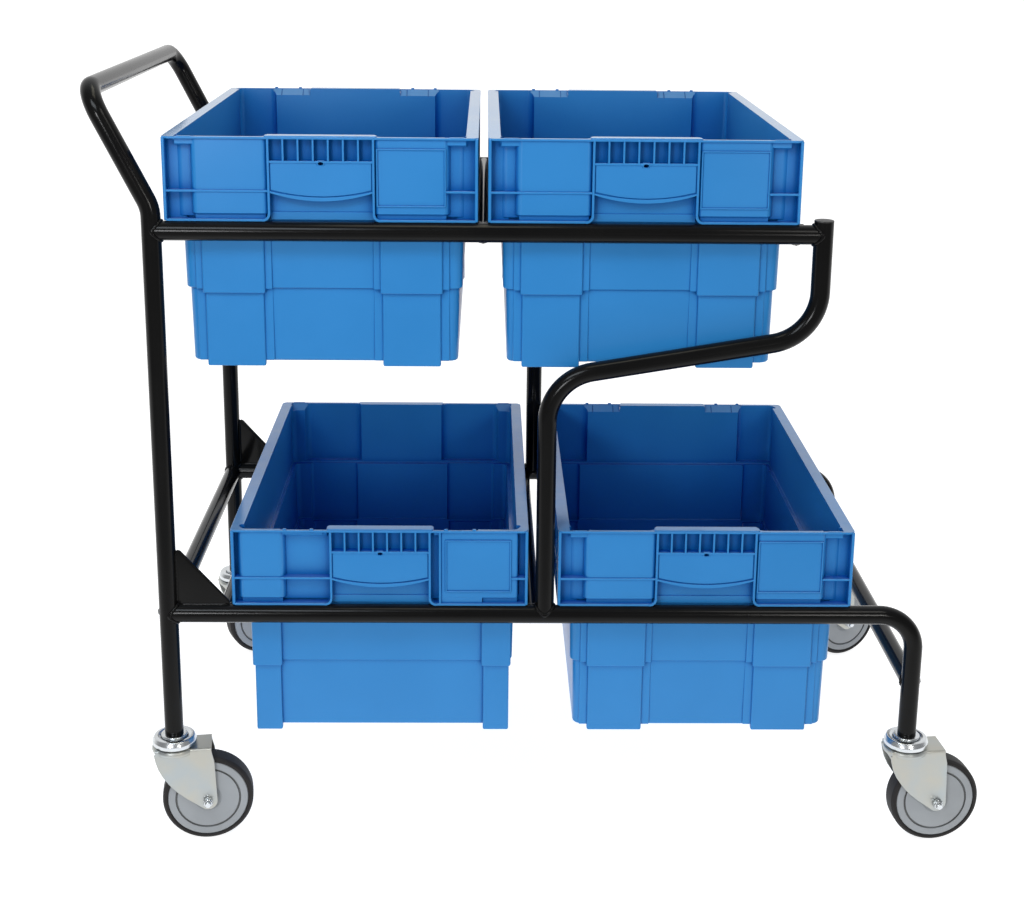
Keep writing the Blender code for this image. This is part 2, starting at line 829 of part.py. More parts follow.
def make_axle(label, pivot):
    """The axle bolt with its hexagon head at the back, its nut at the front and its spacer bush."""
    seat = fork_width / 2 + fit_gap
    nut_end = seat + nut_height
    shank_range = (-seat - bolt_head_height / 2, nut_end + bolt_end)
    shank = rod_mesh("shank", bolt_radius, *shank_range, small_sides)
    bolt = add_object(f"axle_bolt_{label}", shank, "bright_zinc")
    head = rod_cutter("bolt_head", hex_radius, -seat - bolt_head_height, -seat, hex_sides)
    boolean(bolt, head, "UNION")
    nut = add_object(
        f"axle_nut_{label}", rod_mesh("nut", hex_radius, seat, nut_end, hex_sides), "bright_zinc"
    )
    bore_range = (seat - overrun, nut_end + overrun)
    bore = rod_cutter("nut_bore", bolt_radius + bolt_hole_gap, *bore_range, small_sides)
    boolean(nut, bore)
    on_axle(pivot, bolt, head, nut, bore)
    half = fork_width / 2 - fork_plate - fit_gap
    profile = (
        (bush_radius, half),
        (bush_radius, -half),
        (bush_bore_radius, -half),
        (bush_bore_radius, half),
    )
    on_axle(pivot, turned(f"axle_bush_{label}", profile, round_sides, "bearing_steel"))


def make_wheel(label, pivot):
    """The wheel: a grey centre with its hub, and the rubber tyre on it."""
    face = core_width / 2
    hub_end = hub_length / 2
    bore = bush_radius + running_gap
    core_profile = (
        (core_radius, face),
        (core_radius, -face),
        (hub_radius, -face),
        (hub_radius, -hub_end),
        (bore, -hub_end),
        (bore, hub_end),
        (hub_radius, hub_end),
        (hub_radius, face),
    )
    flat_radius = wheel_radius / math.cos(math.pi / wheel_sides)
    inner = core_radius + fit_gap
    half = tyre_width / 2
    tyre_profile = (
        (flat_radius - tyre_shoulder, half),
        (flat_radius, half - tyre_tread_inset),
        (flat_radius, tyre_tread_inset - half),
        (flat_radius - tyre_shoulder, -half),
        (inner, -half),
        (inner, half),
    )
    on_axle(
        pivot,
        turned(f"wheel_core_{label}", core_profile, wheel_sides, "grey_plastic"),
        turned(f"tyre_{label}", tyre_profile, wheel_sides, "black_rubber"),
    )


def make_castor(label, x, y, turn):
    """One swivel castor under a tube end; its parts hang from an empty on the swivel axis."""
    make_stem(f"castor_stem_{label}", (x, y, 0))
    pivot = bpy.data.objects.new(f"castor_pivot_{label}", None)
    parts.objects.link(pivot)
    pivot.location = (x, y, 0)
    pivot.rotation_euler.z = turn
    make_head(f"castor_head_{label}", pivot)
    make_ball_ring(f"ball_ring_{label}", pivot)
    make_fork(f"castor_fork_{label}", pivot)
    make_axle(label, pivot)
    make_wheel(label, pivot)


def make_castors():
    front = -rail_spacing / 2
    back = rail_spacing / 2
    make_castor("front_left", 0, front, front_left_turn)
    make_castor("back_left", 0, back, back_left_turn)
    make_castor("front_right", post_to_leg, front, front_right_turn)
    make_castor("back_right", post_to_leg, back, back_right_turn)


def centre_on_footprint():
    """Moves the whole trolley so that the origin is under the middle of its outline."""
    bpy.context.view_layer.update()
    graph = bpy.context.evaluated_depsgraph_get()
    places = []
    for item in parts.objects:
        if item.type == "MESH":
            shown = item.evaluated_get(graph)
            places += [shown.matrix_world @ vert.co for vert in shown.data.vertices]
    middle = Vector()
    for axis in (0, 1):
        values = [place[axis] for place in places]
        middle[axis] = (min(values) + max(values)) / 2
    for item in (*parts.objects, *cutters.objects):
        if item.parent is None:
            item.location -= middle


clear_scene()
parts = collection_named("container_trolley")
cutters = collection_named("cutters")
make_hoop()
for side_name, rail_y in (("front", -rail_spacing / 2), ("back", rail_spacing / 2)):
    make_rails(side_name, rail_y)
    make_gusset(side_name, rail_y)
make_crossbars()
make_bins()
make_castors()
centre_on_footprint()
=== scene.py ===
import json
import math

import bmesh
import bpy
from mathutils import Matrix, Vector, noise

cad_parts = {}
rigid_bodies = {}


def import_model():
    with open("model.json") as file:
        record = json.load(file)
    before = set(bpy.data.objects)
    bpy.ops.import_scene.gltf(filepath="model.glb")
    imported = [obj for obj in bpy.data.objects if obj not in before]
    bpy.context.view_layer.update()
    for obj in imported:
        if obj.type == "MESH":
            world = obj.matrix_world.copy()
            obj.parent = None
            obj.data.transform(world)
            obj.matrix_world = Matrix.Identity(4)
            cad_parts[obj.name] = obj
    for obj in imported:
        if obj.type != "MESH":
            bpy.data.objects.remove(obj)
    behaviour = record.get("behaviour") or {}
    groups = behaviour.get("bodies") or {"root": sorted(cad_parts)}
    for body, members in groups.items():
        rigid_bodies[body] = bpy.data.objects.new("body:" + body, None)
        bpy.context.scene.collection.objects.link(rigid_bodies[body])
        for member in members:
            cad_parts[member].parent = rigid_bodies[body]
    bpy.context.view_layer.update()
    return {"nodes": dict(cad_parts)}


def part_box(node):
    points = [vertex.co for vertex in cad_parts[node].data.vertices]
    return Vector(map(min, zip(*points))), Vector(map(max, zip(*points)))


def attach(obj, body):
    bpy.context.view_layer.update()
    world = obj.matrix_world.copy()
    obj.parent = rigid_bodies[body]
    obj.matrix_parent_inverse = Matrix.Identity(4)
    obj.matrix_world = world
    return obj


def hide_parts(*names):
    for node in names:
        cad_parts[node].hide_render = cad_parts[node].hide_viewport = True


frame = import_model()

# Lengths in metres, angles in radians
tube_radius = 0.0127
tube_sides = 32
tube_bend_step = math.radians(5)
merge_distance = 0.00001
sharp_angle = math.radians(28)
weld_sharp_angle = math.radians(60)
rounded_edge_angle = math.radians(60)

# The weld beads
weld_radius = 0.0030
weld_width = 0.8
weld_sides = 56
weld_section_sides = 8
weld_ripple = 0.0003
weld_ripple_count = 21
weld_noise_scale = 300
weld_curve_share = 0.97
weld_flush_height = 0.0001
seam_steps = 40
seam_sides = 12
seam_end_share = 0.35
seam_ripple = 0.06

# The frame's bends and plates
bend_radius = 0.050
handle_corner_radius = 0.038
bracket_bend_radius = 0.070
handle_lean = math.radians(26.5)
handle_leg_length = 0.167
handle_bend_height = 0.892
bracket_bend_heights = (0.669, 0.7286)
gusset_size = (0.070, 0.078)
gusset_thickness = 0.0032
gusset_tip = 0.005
seam_gap = 0.0003
cap_thickness = 0.0018
cap_wall = 0.0018
cap_plug = 0.010

# The bins
bin_width = 0.400
bin_length = 0.600
bin_rim = (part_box("bin_upper_left")[1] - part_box("bin_upper_left")[0]).z
bin_wall = 0.003
rim_thickness = 0.003
rim_corner = 0.0085
skirt_height = 0.108
skirt_inset = 0.013
middle_inset = 0.019
lower_inset = 0.0245
end_wall_inset = 0.004
wall_draft = 0.0015
middle_height = 0.097
panel_step = 0.005
foot_drop = 0.006
column_proud = 0.006
column_step_drop = 0.006
rib_thickness = 0.0025
side_rib_count = 7
body_corner_radius = 0.012
skirt_bottom = bin_rim - skirt_height
first_step = skirt_bottom + panel_step
second_step = first_step - middle_height

# Places on a bin's ends in millimetres: across from the left as the end is seen, in from the
# end's outer plane, and down from the rim
skirt_drop = 1000 * skirt_height
grip_span = (134, 267)
pocket_count = 7
level_rib_drops = (70.4, 67.6)
panel_back = 14.5
hollow_back = 23
hollow_drops = (97, -28)

# The castors, whose axle is a wheel's radius above the floor
castor_trail = 0.043
wheel_radius = 0.0625
fork_crown = 0.1425
fork_plate = 0.003
fork_half = 0.0225
fork_tip = 0.013
axle_bore_radius = 0.0044
nut_radius = 0.0075

# Dust, and a painted sheen that makes faces that look up paler
dust_and_sheen_colour = (0.40, 0.46, 0.52)

# The camera and the lamps
picture_width = 1024
camera_focal_pixels = 1655.4
camera_sensor = 36
camera_shift = -0.11
camera_place = (-0.0910, -2.3957, 1.2576)
camera_angles = (-0.9553, 14.6528, 0.5588)
lamps = {
    # place, aim, size, watts, colour
    "left_lamp": ((-1.05, -2.70, 1.18), (-0.10, -0.30, 0.55), (0.50, 0.50), 18, (0.97, 0.98, 1.0)),
    "right_lamp": ((1.05, -2.70, 1.16), (0.10, -0.30, 0.55), (0.50, 0.50), 11, (1.0, 0.98, 0.94)),
    "cool_lamp": ((-0.72, -1.30, 1.78), (-0.10, 0.0, 0.55), (0.75, 0.40), 8, (0.86, 0.93, 1.0)),
    "warm_lamp": ((0.80, -1.20, 1.95), (0.10, 0.0, 0.55), (0.60, 0.50), 4, (1.0, 0.98, 0.93)),
    "top_lamp": ((-0.20, -0.20, 2.60), (-0.05, -0.20, 0.60), (1.20, 0.50), 7, (1.0, 0.94, 0.74)),
}


def view_axes(yaw, pitch, roll):
    """The rotation of a camera that looks along +Y at rest, turned, tipped down and rolled."""
    level_part = math.cos(pitch)
    forward = Vector((-math.sin(yaw) * level_part, math.cos(yaw) * level_part, -math.sin(pitch)))
    level = Vector((math.cos(yaw), math.sin(yaw), 0))
    up = level.cross(forward)
    right = level * math.cos(roll) + up * math.sin(roll)
    return Matrix((right, right.cross(forward), -forward)).transposed()


def make_camera():
    data = bpy.data.cameras.new("photo_view")
    data.sensor_width = camera_sensor
    data.lens = camera_focal_pixels / picture_width * camera_sensor
    data.shift_y = camera_shift
    camera = bpy.data.objects.new("photo_view", data)
    turn = view_axes(*(math.radians(angle) for angle in camera_angles))
    camera.matrix_world = Matrix.Translation(camera_place) @ turn.to_4x4()
    bpy.context.scene.collection.objects.link(camera)
    bpy.context.scene.camera = camera


# Materials


def link(tree, source, target):
    tree.links.new(source, target)


def node(tree, kind, **settings):
    made = tree.nodes.new(kind)
    for name, value in settings.items():
        setattr(made, name, value)
    return made


def feed(tree, value, socket):
    """Gives a socket a number, a colour or what another socket puts out."""
    if isinstance(value, (int, float)):
        socket.default_value = value
    elif isinstance(value, tuple):
        socket.default_value = (*value, 1)
    else:
        link(tree, value, socket)


def math_node(tree, operation, *values):
    made = node(tree, "ShaderNodeMath", operation=operation)
    for socket, value in zip(made.inputs, values):
        feed(tree, value, socket)
    return made.outputs[0]


def mix_colours(tree, factor, first, second):
    made = node(tree, "ShaderNodeMix", data_type="RGBA")
    for socket, value in ((made.inputs[0], factor), (made.inputs[6], first), (made.inputs[7], second)):
        feed(tree, value, socket)
    return made.outputs[2]


def ramp(tree, value, low, high):
    """Spreads low..high of a value to 0..1."""
    made = node(tree, "ShaderNodeMapRange")
    made.inputs["From Min"].default_value = low
    made.inputs["From Max"].default_value = high
    link(tree, value, made.inputs["Value"])
    return made.outputs[0]


def noise_texture(tree, vector, scale, detail=3, roughness=0.5):
    made = node(tree, "ShaderNodeTexNoise")
    feed(tree, scale, made.inputs["Scale"])
    made.inputs["Detail"].default_value = detail
    made.inputs["Roughness"].default_value = roughness
    link(tree, vector, made.inputs["Vector"])
    return made.outputs["Fac"]


def facing_up(tree, low, high):
    """How far a face looks up, spread from low..high of its normal's height."""
    parts = node(tree, "ShaderNodeSeparateXYZ")
    link(tree, node(tree, "ShaderNodeNewGeometry").outputs["Normal"], parts.inputs[0])
    return ramp(tree, parts.outputs["Z"], low, high)


def new_group(name, inputs, outputs):
    """A shader group with its input and output nodes; an input without a value is a vector."""
    group = bpy.data.node_groups.new(name, "ShaderNodeTree")
    for label, value in inputs.items():
        kind = "NodeSocketVector" if value is None else "NodeSocketFloat"
        socket = group.interface.new_socket(name=label, in_out="INPUT", socket_type=kind)
        if value is not None:
            socket.default_value = value
    for label in outputs:
        group.interface.new_socket(name=label, in_out="OUTPUT", socket_type="NodeSocketFloat")
    return group, node(group, "NodeGroupInput"), node(group, "NodeGroupOutput")


def edge_wear_group():
    """A mask that is 1 on worn convex edges, broken up by noise."""
    group, inside, outside = new_group("edge_wear", {"Vector": None, "Amount": 0.5}, ("Mask",))
    shape = node(group, "ShaderNodeNewGeometry")
    edges = ramp(group, shape.outputs["Pointiness"], 0.52, 0.60)
    patches = ramp(group, noise_texture(group, inside.outputs["Vector"], 60), 0.40, 0.65)
    worn = math_node(group, "MULTIPLY", edges, patches)
    link(group, math_node(group, "MULTIPLY", worn, inside.outputs["Amount"]), outside.inputs["Mask"])
    return group


def grain_group():
    """Fine height and slow mottling, for moulded, painted and plated surfaces."""
    inputs = {"Vector": None, "Grain Scale": 900, "Mottle Scale": 9}
    group, inside, outside = new_group("grain", inputs, ("Height", "Mottle"))
    for name, detail, target in (("Grain Scale", 2, "Height"), ("Mottle Scale", 4, "Mottle")):
        texture = noise_texture(group, inside.outputs["Vector"], inside.outputs[name], detail)
        link(group, texture, outside.inputs[target])
    return group


def dust_and_sheen_group():
    """A mask of thin dust that lies on faces that look up, also a painted sheen that makes them paler."""
    group, inside, outside = new_group("dust_and_sheen", {"Vector": None, "Amount": 0.1}, ("Mask",))
    patches = ramp(group, noise_texture(group, inside.outputs["Vector"], 14, 5, 0.6), 0.05, 0.75)
    lying = math_node(group, "MULTIPLY", facing_up(group, 0.55, 1.0), patches)
    link(group, math_node(group, "MULTIPLY", lying, inside.outputs["Amount"]), outside.inputs["Mask"])
    return group


def painted_shade_group():
    """A mask that is 1 on open faces and falls towards 0 in recesses and along inner corners, for
    painting shade there.
    """
    group, inside, outside = new_group("painted_shade", {"Reach": 0.02}, ("Mask",))
    unshaded = node(group, "ShaderNodeAmbientOcclusion", samples=8, only_local=True)
    link(group, inside.outputs["Reach"], unshaded.inputs["Distance"])
    link(group, ramp(group, unshaded.outputs["AO"], 0.25, 0.85), outside.inputs["Mask"])
    return group


def upward_group():
    """A mask of the faces that look straight up."""
    group, inside, outside = new_group("upward", {}, ("Mask",))
    link(group, facing_up(group, 0.85, 0.98), outside.inputs["Mask"])
    return group


def place_group(tree, name, vector=None, **values):
    made = node(tree, "ShaderNodeGroup", node_tree=groups[name])
    if vector:
        link(tree, vector, made.inputs["Vector"])
    for label, value in values.items():
        made.inputs[label.replace("_", " ")].default_value = value
    return made.outputs


def surface(
    name, colour, second, settings, grain, mottle, bump, wear=None, dust_and_sheen=0.0, recess=None, deep_shade=None
):
    """A finish: a base colour drifting to a second one, with grain, worn edges, painted shade, dust and
    painted sheen.

    grain is (scale, roughness change); mottle is (scale, lowest, highest); wear is (colour, amount);
    recess and deep_shade are (colour, reach) of painted shade, in narrow recesses and towards the bottom
    of a deep vessel."""
    material = bpy.data.materials.new(name)
    material.use_nodes = True
    tree = material.node_tree
    shader = tree.nodes["Principled BSDF"]
    for socket, value in settings.items():
        shader.inputs[socket].default_value = value
    place = node(tree, "ShaderNodeTexCoord").outputs["Object"]
    fine = place_group(tree, "grain", place, Grain_Scale=grain[0], Mottle_Scale=mottle[0])
    base = mix_colours(tree, ramp(tree, fine["Mottle"], mottle[1], mottle[2]), colour, second)
    smoothest = settings["Roughness"] - grain[1] / 2
    roughness = math_node(tree, "MULTIPLY_ADD", fine["Mottle"], grain[1], smoothest)
    if wear:
        edges = place_group(tree, "edge_wear", place, Amount=wear[1])["Mask"]
        base = mix_colours(tree, edges, base, wear[0])
    # Painted shade, darker towards the bottom of a deep vessel
    if deep_shade:
        outside_deep_shade = place_group(tree, "painted_shade", Reach=deep_shade[1])["Mask"]
        base = mix_colours(tree, outside_deep_shade, deep_shade[0], base)
    # Painted shade in narrow recesses: a darker colour and less reflection; faces that look up are left
    # out
    if recess:
        ledges = place_group(tree, "upward")["Mask"]
        unshaded = place_group(tree, "painted_shade", Reach=recess[1])["Mask"]
        unshaded = math_node(tree, "MAXIMUM", unshaded, ledges)
        base = mix_colours(tree, unshaded, recess[0], base)
        unshaded_shine = math_node(tree, "MULTIPLY", unshaded, settings["Specular IOR Level"])
        link(tree, unshaded_shine, shader.inputs["Specular IOR Level"])
    # Dust, and a painted sheen that makes faces that look up paler, less of both under the deep painted
    # shade
    if dust_and_sheen:
        lying = place_group(tree, "dust_and_sheen", place, Amount=dust_and_sheen)["Mask"]
        if deep_shade:
            lying = math_node(tree, "MULTIPLY", lying, outside_deep_shade)
        base = mix_colours(tree, lying, base, dust_and_sheen_colour)
    link(tree, base, shader.inputs["Base Color"])
    link(tree, roughness, shader.inputs["Roughness"])
    relief = node(tree, "ShaderNodeBump")
    relief.inputs["Strength"].default_value = bump[0]
    relief.inputs["Distance"].default_value = bump[1]
    link(tree, fine["Height"], relief.inputs["Height"])
    link(tree, relief.outputs["Normal"], shader.inputs["Normal"])
    return material


def black_paint():
    colours = ((0.0030, 0.0030, 0.0031), (0.0044, 0.0043, 0.0042))
    settings = {"Roughness": 0.17, "Specular IOR Level": 0.15}
    looks = ((700, 0.06), (12, 0.3, 0.7), (0.05, 0.0004))
    return surface("black_paint", *colours, settings, *looks, dust_and_sheen=0.02)


def black_plastic():
    colours = ((0.010, 0.010, 0.010), (0.014, 0.014, 0.014))
    looks = ((1800, 0.10), (20, 0.3, 0.7), (0.15, 0.0003))
    return surface("black_plastic", *colours, {"Roughness": 0.45}, *looks)


def blue_plastic():
    """Moulded polypropylene, darker and less reflective in its recesses and deep inside by painted shade,
    dusty with a painted sheen and rubbed smooth where it looks up.
    """
    material = surface(
        "blue_plastic",
        (0.020, 0.205, 0.525),
        (0.023, 0.217, 0.550),
        {"Roughness": 0.30, "Specular IOR Level": 0.34},
        (1400, 0.08),
        (9, 0.35, 0.65),
        (0.05, 0.0003),
        # Dust, and a painted sheen on faces that look up
        dust_and_sheen=0.42,
        # Painted shade in narrow recesses and towards the bottom inside the bin
        recess=((0.004, 0.100, 0.340), 0.032),
        deep_shade=((0.0, 0.076, 0.420), 0.30),
    )
    tree = material.node_tree
    roughness = tree.nodes["Principled BSDF"].inputs["Roughness"]
    rubbed = node(tree, "ShaderNodeMix", data_type="FLOAT")
    rubbed.inputs[3].default_value = 0.07
    link(tree, place_group(tree, "upward")["Mask"], rubbed.inputs[0])
    link(tree, roughness.links[0].from_socket, rubbed.inputs[2])
    link(tree, rubbed.outputs[0], roughness)
    return material


def metal(name, colours, roughness, *looks, dust_and_sheen=0.0):
    return surface(name, *colours, {"Roughness": roughness, "Metallic": 1.0}, *looks, dust_and_sheen=dust_and_sheen)


def grey_plastic():
    return surface(
        "grey_plastic",
        (0.300, 0.320, 0.338),
        (0.265, 0.283, 0.300),
        {"Roughness": 0.42, "Specular IOR Level": 0.4},
        (900, 0.12),
        (18, 0.3, 0.7),
        (0.12, 0.0004),
        dust_and_sheen=0.12,
        # Painted shade in narrow recesses
        recess=((0.055, 0.052, 0.045), 0.005),
    )


def black_rubber():
    return surface(
        "black_rubber",
        (0.011, 0.010, 0.010),
        (0.019, 0.017, 0.017),
        {"Roughness": 0.62, "Specular IOR Level": 0.25},
        (1100, 0.16),
        (24, 0.3, 0.7),
        (0.25, 0.0005),
        wear=((0.06, 0.055, 0.05), 0.3),
        dust_and_sheen=0.06,
    )


def make_finishes():
    """The finishes by their slots' names. A material's own name may get a number from the CAD's."""
    zinc = ((0.41, 0.445, 0.455), (0.47, 0.465, 0.42))
    bright = ((0.66, 0.69, 0.72), (0.60, 0.62, 0.63))
    steel = ((0.50, 0.50, 0.51), (0.40, 0.40, 0.41))
    return {
        "black_paint": black_paint(),
        "black_plastic": black_plastic(),
        "blue_plastic": blue_plastic(),
        "zinc": metal("zinc", zinc, 0.40, (260, 0.16), (24, 0.35, 0.65), (0.08, 0.0004), dust_and_sheen=0.05),
        "bright_zinc": metal("bright_zinc", bright, 0.24, (400, 0.14), (36, 0.35, 0.7), (0.05, 0.0003)),
        "bearing_steel": metal("bearing_steel", steel, 0.22, (500, 0.10), (60, 0.3, 0.7), (0.04, 0.0002)),
        "grey_plastic": grey_plastic(),
        "black_rubber": black_rubber(),
    }


# Pieces


def middle_of(name):
    """The middle of a CAD node's box."""
    return [(low + high) / 2 for low, high in zip(*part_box(name))]


def finish_mesh(name, bm, angle):
    bmesh.ops.remove_doubles(bm, verts=bm.verts, dist=merge_distance)
    bmesh.ops.recalc_face_normals(bm, faces=bm.faces)
    mesh = bpy.data.meshes.new(name)
    bm.to_mesh(mesh)
    bm.free()
    return shaded(mesh, angle)


def shaded(mesh, angle=sharp_angle):
    mesh.shade_smooth()
    mesh.set_sharp_from_angle(angle=angle)
    return mesh


def add_piece(name, mesh, finish, body, *nodes):
    """A finished piece: its finish, the body it rides on and the CAD nodes that it stands for."""
    mesh.materials.clear()
    mesh.materials.append(finishes[finish])
    item = bpy.data.objects.new(name, mesh)
    bpy.context.scene.collection.objects.link(item)
    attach(item, body)
    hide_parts(*nodes)
    return item


def add_even_piece(*parts):
    """A piece whose large faces rule the shading of the small ones beside them."""
    add_piece(*parts).modifiers.new("even_shading", "WEIGHTED_NORMAL").keep_sharp = True


def add_shape(name, bm, finish, body, *nodes, angle=sharp_angle):
    return add_piece(name, finish_mesh(name, bm, angle), finish, body, *nodes)


def ring_edges(verts):
    ring = set(verts)
    return list({edge for vert in ring for edge in vert.link_edges if edge.other_vert(vert) in ring})


def new_verts(made):
    return [item for item in made if isinstance(item, bmesh.types.BMVert)]


def extruded(bm, edges):
    """Extrudes a ring and returns the new verts."""
    return new_verts(bmesh.ops.extrude_edge_only(bm, edges=edges)["geom"])


def thickened(bm, verts, shift):
    """Makes a face of the verts and extrudes it by the shift."""
    made = bmesh.ops.extrude_face_region(bm, geom=[bm.faces.new(verts)])["geom"]
    bmesh.ops.translate(bm, verts=new_verts(made), vec=shift)


def bevel(bm, edges, offset, segments):
    bmesh.ops.bevel(
        bm,
        geom=edges,
        offset=offset,
        offset_type="OFFSET",
        segments=segments,
        profile=0.5,
        affect="EDGES",
        material=-1,
        clamp_overlap=True,
    )


def revolve(bm, verts, edges, centre, axis, angle, steps, merged):
    return bmesh.ops.spin(
        bm,
        geom=verts + edges,
        cent=centre,
        axis=axis,
        dvec=(0, 0, 0),
        angle=angle,
        space=Matrix.Identity(4),
        steps=steps,
        use_merge=merged,
    )


def spin_profile(bm, profile, steps, closed):
    """Spins (radius, height) pairs about Z."""
    verts = [bm.verts.new((radius, 0, height)) for radius, height in profile]
    edges = [bm.edges.new(pair) for pair in zip(verts, verts[1:])]
    if closed:
        edges.append(bm.edges.new((verts[-1], verts[0])))
    revolve(bm, verts, edges, (0, 0, 0), (0, 0, 1), math.tau, steps, True)


def rounded_profile(points, closed, steps):
    """Rounds the corners of a profile. Each point is (radius, height) or (radius, height, rounding)."""
    made = []
    count = len(points)
    for index, point in enumerate(points):
        corner = Vector(point[:2])
        rounding = point[2] if len(point) > 2 else 0
        if not rounding or (not closed and index in (0, count - 1)):
            made.append(tuple(corner))
            continue
        before = (Vector(points[index - 1][:2]) - corner).normalized()
        after = (Vector(points[(index + 1) % count][:2]) - corner).normalized()
        half_angle = before.angle(after) / 2
        setback = rounding / math.tan(half_angle)
        centre = corner + (before + after).normalized() * rounding / math.sin(half_angle)
        start = corner + before * setback - centre
        end = corner + after * setback - centre
        turn = start.angle_signed(end)
        for step in range(steps + 1):
            spoke = Matrix.Rotation(-turn * step / steps, 2) @ start
            made.append(tuple(centre + spoke))
    return made


def turned(points, steps=64, corner_steps=4):
    """A turned shape with rounded corners, hollow if its profile stays off the axis."""
    closed = points[0][0] > 0
    bm = bmesh.new()
    spin_profile(bm, rounded_profile(points, closed, corner_steps), steps, closed)
    bmesh.ops.remove_doubles(bm, verts=bm.verts, dist=merge_distance)
    return bm


# The frame


def bent_tube(name, corners, radii, node_name):
    """A tube along straight runs and round bends, closed at both ends."""
    corners = [Vector(corner) for corner in corners]
    bm = bmesh.new()
    ring = bmesh.ops.create_circle(bm, cap_ends=True, radius=tube_radius, segments=tube_sides)["verts"]
    heading = (corners[1] - corners[0]).normalized()
    bmesh.ops.rotate(bm, verts=ring, cent=(0, 0, 0), matrix=heading.to_track_quat("Z", "Y").to_matrix())
    bmesh.ops.translate(bm, verts=ring, vec=corners[0])
    place = corners[0]
    for before, corner, after, bend in zip(corners, corners[1:], corners[2:], radii):
        inward = (before - corner).normalized()
        onward = (after - corner).normalized()
        half_angle = inward.angle(onward) / 2
        start = corner + inward * bend / math.tan(half_angle)
        centre = corner + (inward + onward).normalized() * bend / math.sin(half_angle)
        turn = math.pi - 2 * half_angle
        axis = inward.cross(start - centre).normalized()
        ring = extruded(bm, ring_edges(ring))
        bmesh.ops.translate(bm, verts=ring, vec=start - place)
        steps = max(2, math.ceil(turn / tube_bend_step))
        spun = revolve(bm, ring, ring_edges(ring), centre, axis, turn, steps, False)
        ring = new_verts(spun["geom_last"])
        place = corner + onward * bend / math.tan(half_angle)
    ring = extruded(bm, ring_edges(ring))
    bmesh.ops.translate(bm, verts=ring, vec=corners[-1] - place)
    bmesh.ops.contextual_create(bm, geom=ring_edges(ring))
    add_shape(name, bm, "black_paint", "frame", node_name)


def saddle(across):
    """How far from the other tube's axis a point of a branch meets its skin."""
    return math.sqrt(max(tube_radius**2 - (weld_curve_share * tube_radius * across) ** 2, 0))


def weld(name, place, branch, main, flush=False):
    """A weld bead round a branch tube, where it meets the skin of the tube that it stands on.

    flush grinds it level with the tube's top, where a bin rests on the rail."""
    branch = Vector(branch).normalized()
    main = Vector(main).normalized()
    side = branch.cross(main)
    bm = bmesh.new()
    section = []
    for step in range(weld_section_sides):
        angle = math.tau * step / weld_section_sides
        width = weld_radius * weld_width * math.cos(angle)
        section.append((tube_radius + width, weld_radius * math.sin(angle)))
    spin_profile(bm, section, weld_sides, True)
    bmesh.ops.remove_doubles(bm, verts=bm.verts, dist=merge_distance)
    turn = Matrix((main, side, branch)).transposed()
    if turn.determinant() < 0:
        turn = Matrix((main, -side, branch)).transposed()
    for vert in bm.verts:
        around = math.atan2(vert.co.y, vert.co.x)
        ripple = weld_ripple * math.sin(around * weld_ripple_count)
        ripple += weld_ripple * noise.noise(vert.co * weld_noise_scale)
        out = Vector((vert.co.x, vert.co.y, 0)).normalized()
        vert.co += out * ripple
        vert.co.z += saddle(math.sin(around))
    bmesh.ops.transform(bm, matrix=Matrix.Translation(place) @ turn.to_4x4(), verts=bm.verts)
    if flush:
        for vert in bm.verts:
            vert.co.z = min(vert.co.z, place[2] + tube_radius + weld_flush_height)
    add_shape(name, bm, "black_paint", "frame", angle=weld_sharp_angle)


def seam_weld(name, start, along, run):
    """A straight weld bead with slight ripples, rounded at its ends."""
    bm = bmesh.new()
    end_radius = weld_radius * seam_end_share
    ring = bmesh.ops.create_circle(bm, cap_ends=True, radius=end_radius, segments=seam_sides)["verts"]
    for step in range(1, seam_steps + 1):
        share = step / seam_steps
        ring = extruded(bm, ring_edges(ring))
        bmesh.ops.translate(bm, verts=ring, vec=(0, 0, run / seam_steps))
        swell = min(1, seam_end_share + 6 * min(share, 1 - share)) * weld_radius
        swell *= 1 + seam_ripple * math.sin(step * 2.1)
        for vert in ring:
            out = Vector((vert.co.x, vert.co.y, 0)).normalized() * swell
            vert.co.x, vert.co.y = out.x, out.y
    bmesh.ops.contextual_create(bm, geom=ring_edges(ring))
    turn = along.to_track_quat("Z", "Y").to_matrix().to_4x4()
    bmesh.ops.transform(bm, matrix=Matrix.Translation(start) @ turn, verts=bm.verts)
    add_shape(name, bm, "black_paint", "frame", angle=weld_sharp_angle)


def make_frame():
    post_x, front = middle_of("castor_stem_front_left")[:2]
    leg_x, back = middle_of("castor_stem_back_right")[:2]
    make_hoop(post_x, front, back)
    for side, y in (("front", front), ("back", back)):
        make_side_frame(side, y, post_x, leg_x)
    for name in (
        "post_crossbar",
        "leg_crossbar",
        "lower_left_crossbar",
        "lower_mid_crossbar",
        "upper_mid_crossbar",
        "upper_right_crossbar",
    ):
        x = middle_of(name)[0]
        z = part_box(name)[1].z - tube_radius
        bent_tube(f"{name}_tube", ((x, front, z), (x, back, z)), (), name)
        main = (0, 0, 1) if name in ("post_crossbar", "leg_crossbar") else (1, 0, 0)
        weld(f"weld_{name}_front", (x, front, z), (0, 1, 0), main, flush=True)
        weld(f"weld_{name}_back", (x, back, z), (0, -1, 0), main, flush=True)


def make_hoop(post_x, front, back):
    """The tube that is bent into both posts and the push handle."""
    tube_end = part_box("lower_rail_front")[0].z
    lean = Vector((-math.sin(handle_lean), 0, math.cos(handle_lean))) * handle_leg_length
    ends = (Vector((post_x, front, tube_end)), Vector((post_x, back, tube_end)))
    bends = (Vector((post_x, front, handle_bend_height)), Vector((post_x, back, handle_bend_height)))
    bent_tube(
        "hoop_tube",
        (ends[0], bends[0], bends[0] + lean, bends[1] + lean, bends[1], ends[1]),
        (bend_radius, handle_corner_radius, handle_corner_radius, bend_radius),
        "handle_hoop",
    )


